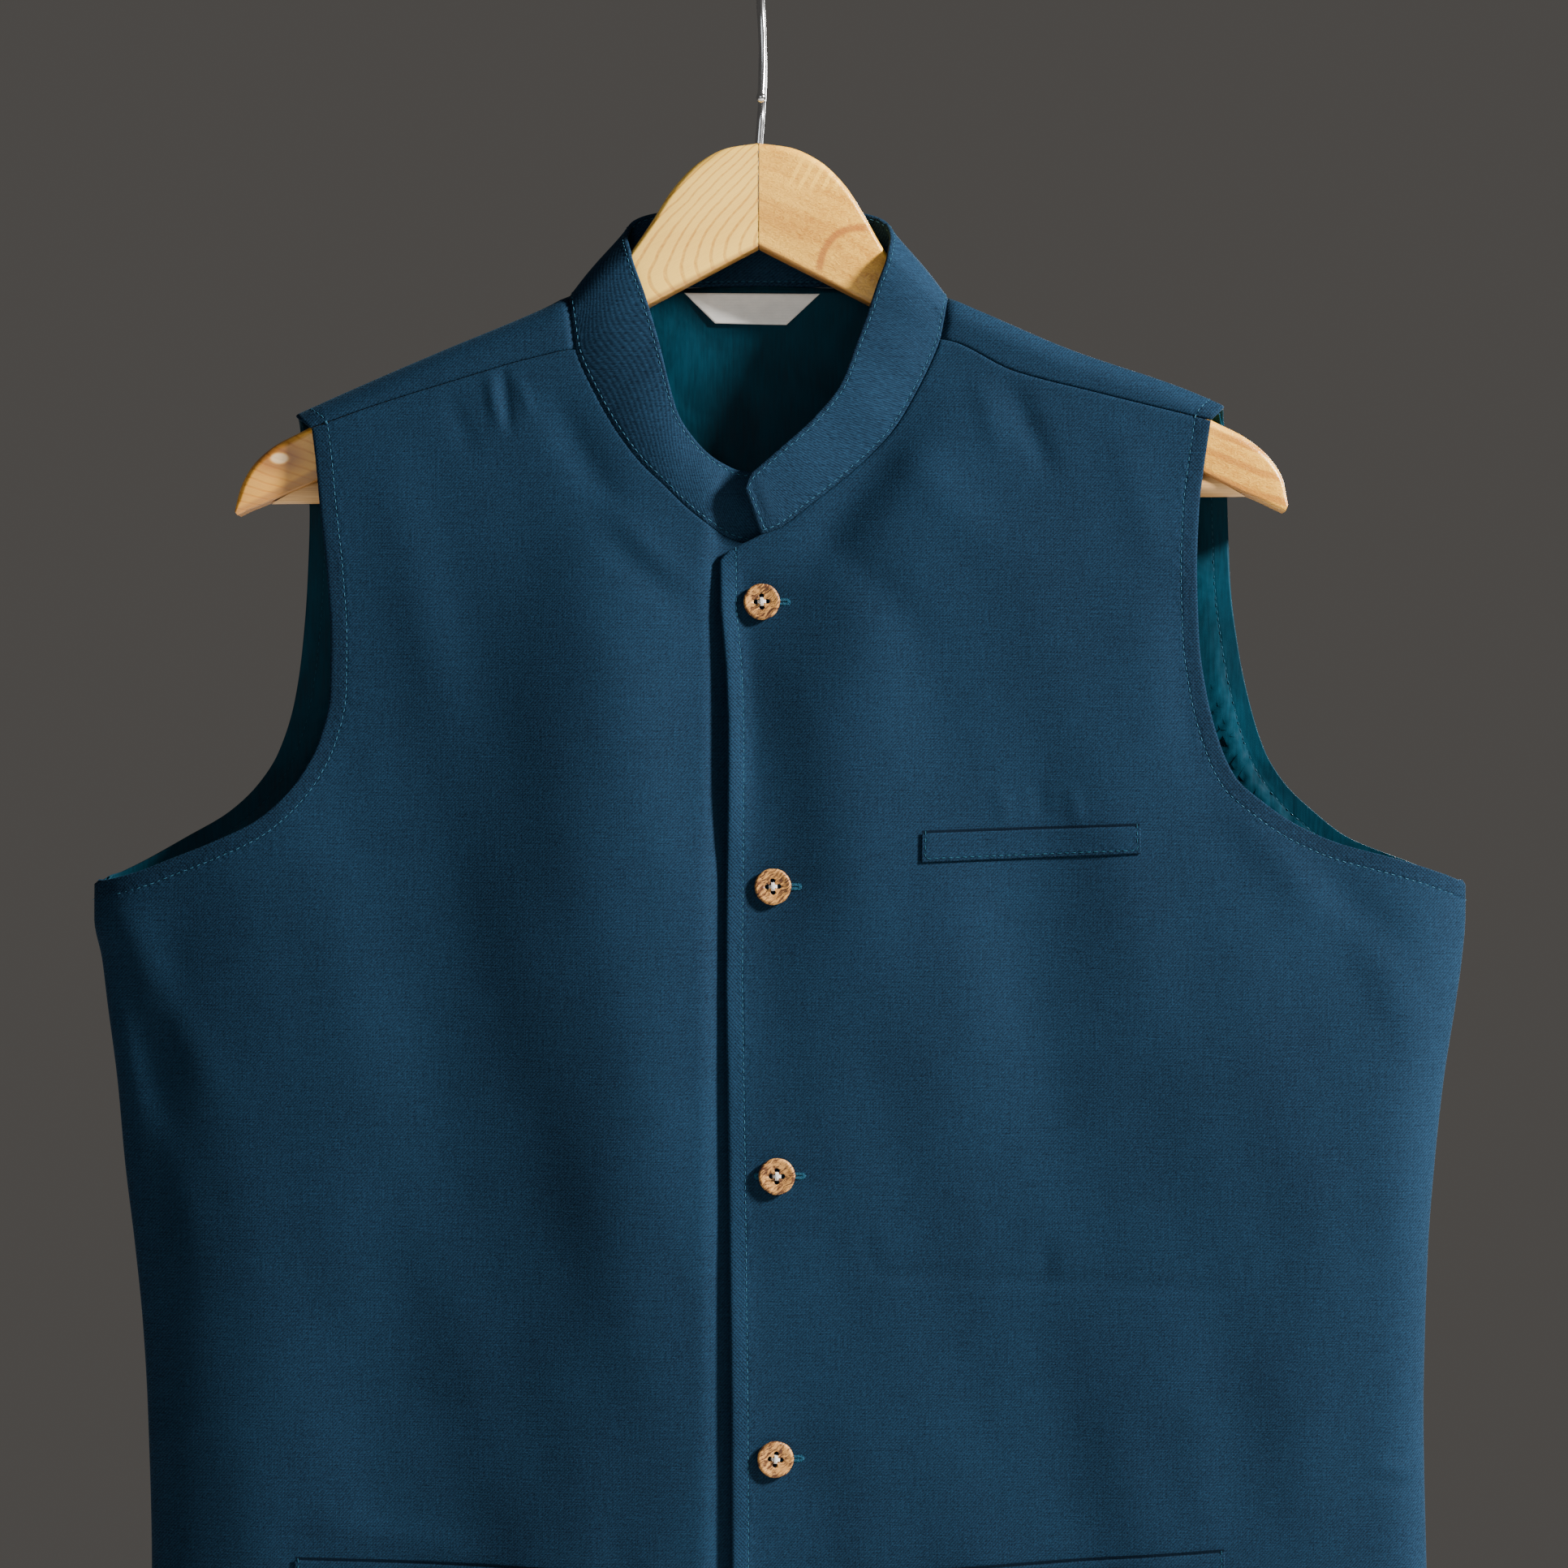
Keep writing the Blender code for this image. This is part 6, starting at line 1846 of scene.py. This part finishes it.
def make_hook(finish):
    """Steel wire with a rounded end."""
    bm = bmesh.new()
    route = hook_route()
    add_tube(bm, route, HOOK_WIRE / 2.0, HOOK_SIDES)
    tip = bmesh.ops.create_uvsphere(bm, u_segments=HOOK_SIDES, v_segments=HOOK_TURN_STEPS,
                                    radius=HOOK_TIP / 2.0 * MM)
    bmesh.ops.translate(bm, verts=tip["verts"], vec=Vector(route[-1]) * MM)
    dress(add_piece("hook_wire", bm, finish), ("hook",))


# Stitches

def join(tree, source, output, target, entry):
    tree.links.new(source.outputs[output], target.inputs[entry])


def stitch_tree():
    """Stitches along lines: one small spindle of thread at each pitch, along or across the line."""
    tree = bpy.data.node_groups.new("stitches", "GeometryNodeTree")
    tree.interface.new_socket("Line", in_out="INPUT", socket_type="NodeSocketGeometry")
    for name in ("Pitch", "Length", "Width", "Across"):
        tree.interface.new_socket(name, in_out="INPUT", socket_type="NodeSocketFloat")
    tree.interface.new_socket("Seed", in_out="INPUT", socket_type="NodeSocketInt")
    tree.interface.new_socket("Thread", in_out="INPUT", socket_type="NodeSocketMaterial")
    tree.interface.new_socket("Stitches", in_out="OUTPUT", socket_type="NodeSocketGeometry")

    def add(kind, **settings):
        node = tree.nodes.new(kind)
        for name, value in settings.items():
            setattr(node, name, value)
        return node

    start = add("NodeGroupInput")
    end = add("NodeGroupOutput")
    curve = add("GeometryNodeMeshToCurve")
    spaced = add("GeometryNodeResampleCurve", mode="LENGTH")
    tangent = add("GeometryNodeInputTangent")
    sideways = add("ShaderNodeVectorMath", operation="CROSS_PRODUCT")
    sideways.inputs[1].default_value = (0.0, 1.0, 0.0)
    way = add("ShaderNodeMix", data_type="VECTOR")
    wander = add("FunctionNodeRandomValue", data_type="FLOAT_VECTOR")
    wander.inputs["Min"].default_value = (-STITCH_WANDER,) * 3
    wander.inputs["Max"].default_value = (STITCH_WANDER,) * 3
    heading = add("ShaderNodeVectorMath", operation="ADD")
    turn = add("FunctionNodeAlignRotationToVector", axis="Z")
    uneven = add("FunctionNodeRandomValue", data_type="FLOAT")
    uneven.inputs[2].default_value = STITCH_SHORTEST
    uneven.inputs[3].default_value = STITCH_LONGEST
    length = add("ShaderNodeMath", operation="MULTIPLY")
    size = add("ShaderNodeCombineXYZ")
    spindle = add("GeometryNodeMeshUVSphere")
    spindle.inputs["Segments"].default_value = 6
    spindle.inputs["Rings"].default_value = 4
    spindle.inputs["Radius"].default_value = 0.5
    placed = add("GeometryNodeInstanceOnPoints")
    real = add("GeometryNodeRealizeInstances")
    smooth = add("GeometryNodeSetShadeSmooth")
    coloured = add("GeometryNodeSetMaterial")
    links = (
        (start, "Line", curve, "Mesh"),
        (curve, 0, spaced, "Curve"),
        (start, "Pitch", spaced, "Length"),
        (tangent, 0, sideways, 0),
        (start, "Across", way, 0),
        (tangent, 0, way, 4),
        (sideways, 0, way, 5),
        (start, "Seed", wander, "Seed"),
        (way, 1, heading, 0),
        (wander, 0, heading, 1),
        (heading, 0, turn, "Vector"),
        (start, "Seed", uneven, "Seed"),
        (start, "Length", length, 0),
        (uneven, 1, length, 1),
        (start, "Width", size, 0),
        (start, "Width", size, 1),
        (length, 0, size, 2),
        (spaced, 0, placed, "Points"),
        (spindle, 0, placed, "Instance"),
        (turn, 0, placed, "Rotation"),
        (size, 0, placed, "Scale"),
        (placed, 0, real, 0),
        (real, 0, smooth, 0),
        (smooth, 0, coloured, "Geometry"),
        (start, "Thread", coloured, "Material"),
        (coloured, 0, end, 0),
    )
    for link_ends in links:
        join(tree, *link_ends)
    return tree


def make_stitches(name, routes, tree, thread, seed, pitch=STITCH_PITCH, length=STITCH_LENGTH,
                  width=THREAD_WIDTH, across=0.0):
    vertices = []
    edges = []
    for route in routes:
        first = len(vertices)
        vertices += [tuple(point * MM) for point in route]
        edges += [(first + k, first + k + 1) for k in range(len(route) - 1)]
    mesh = bpy.data.meshes.new(name)
    mesh.from_pydata(vertices, edges, [])
    item = link(bpy.data.objects.new(name, mesh))
    sewing = item.modifiers.new("stitches", "NODES")
    sewing.node_group = tree
    values = {"Pitch": pitch * MM, "Length": length * MM, "Width": width * MM, "Across": across,
              "Seed": seed, "Thread": thread}
    for socket in tree.interface.items_tree:
        if socket.in_out == "INPUT" and socket.name in values:
            sewing[socket.identifier] = values[socket.name]
    freeze(item)
    item.data.name = name
    dress(item)


def buttonhole_routes():
    """The two lips and round ends of each buttonhole, seen beside its button."""
    routes = []
    angles = np.linspace(0.0, TAU, 49)
    for x, drop, start in zip(BUTTONS["x"], BUTTONS["drop"], BUTTONS["hole_start"]):
        half = (BUTTONHOLE_END - start) / 2.0
        ring_x = np.cos(angles) * BUTTONHOLE_LIP
        ring_x = ring_x + np.sign(np.cos(angles)) * (half - BUTTONHOLE_LIP)
        around_x = x + start + half + ring_x
        around_drop = drop + np.sin(angles) * BUTTONHOLE_LIP
        y = overlap_y(around_x, around_drop, overlap_edge(drop)) - THREAD_WIDTH / 3.0
        routes.append(stack(around_x, y, around_drop))
    return routes


def main():
    make_camera()
    make_studio()
    make_floor()
    cloth = cloth_finish("jacket_cloth", *JACKET_COLOURS, TOPSTITCH_INSET)
    # Painted light: the collar cloth is the jacket cloth made lighter.
    collar_cloth = cloth_finish("collar_cloth", *COLLAR_LIT_COLOURS, COLLAR_STITCH_INSET)
    welt_cloth = cloth_finish("welt_cloth", *JACKET_COLOURS, WELT_STITCH_INSET)
    lining = lining_finish()
    teal = thread_finish("teal_thread", *TEAL_THREAD, THREAD_PLY)
    inside = thread_finish("lining_thread", *INSIDE_THREAD, THREAD_PLY)
    bright = thread_finish("buttonhole_thread", *BUTTONHOLE_THREAD, THREAD_PLY)
    white = thread_finish("button_thread", *WHITE_THREAD, BUTTON_THREAD_PLY)
    shell = shell_finish()
    tree = stitch_tree()
    make_stitches("stitches_front_right",
                  make_front("front_right", UNDERLAP_ROWS, -1, underlap_y, [cloth, lining]), tree, teal, 1)
    make_stitches("stitches_front_left",
                  make_front("front_left", OVERLAP_ROWS, 1, overlap_y, [cloth, lining]), tree, teal, 2)
    outside, within = make_back([cloth, lining], lining)
    make_stitches("stitches_back", outside, tree, teal, 3)
    make_stitches("stitches_lining", within, tree, inside, 10)
    make_stitches("stitches_collar", make_collar(collar_cloth), tree, teal, 4)
    for seed, name in enumerate(WELTS):
        surface = underlap_y if WELTS[name][0][0] < 0.0 else overlap_y
        routes = make_welt(name, lambda x, drop: surface(x, drop, overlap_edge(drop)), welt_cloth)
        make_stitches("stitches_" + name, routes, tree, inside, 5 + seed)
    make_label(label_finish())
    for k in range(len(BUTTONS["x"])):
        make_button("button_%d" % (k + 1), BUTTONS["x"][k], BUTTONS["drop"][k], shell, white)
    make_stitches("buttonholes", buttonhole_routes(), tree, bright, 9, WHIP_PITCH, WHIP_LENGTH,
                  THREAD_WIDTH, 1.0)
    make_arm("hanger_arm_left", ARM_LEFT, -1, left_wood_finish())
    make_arm("hanger_arm_right", ARM_RIGHT, 1, right_wood_finish())
    make_bar(bar_finish())
    make_hook(steel_finish())


main()
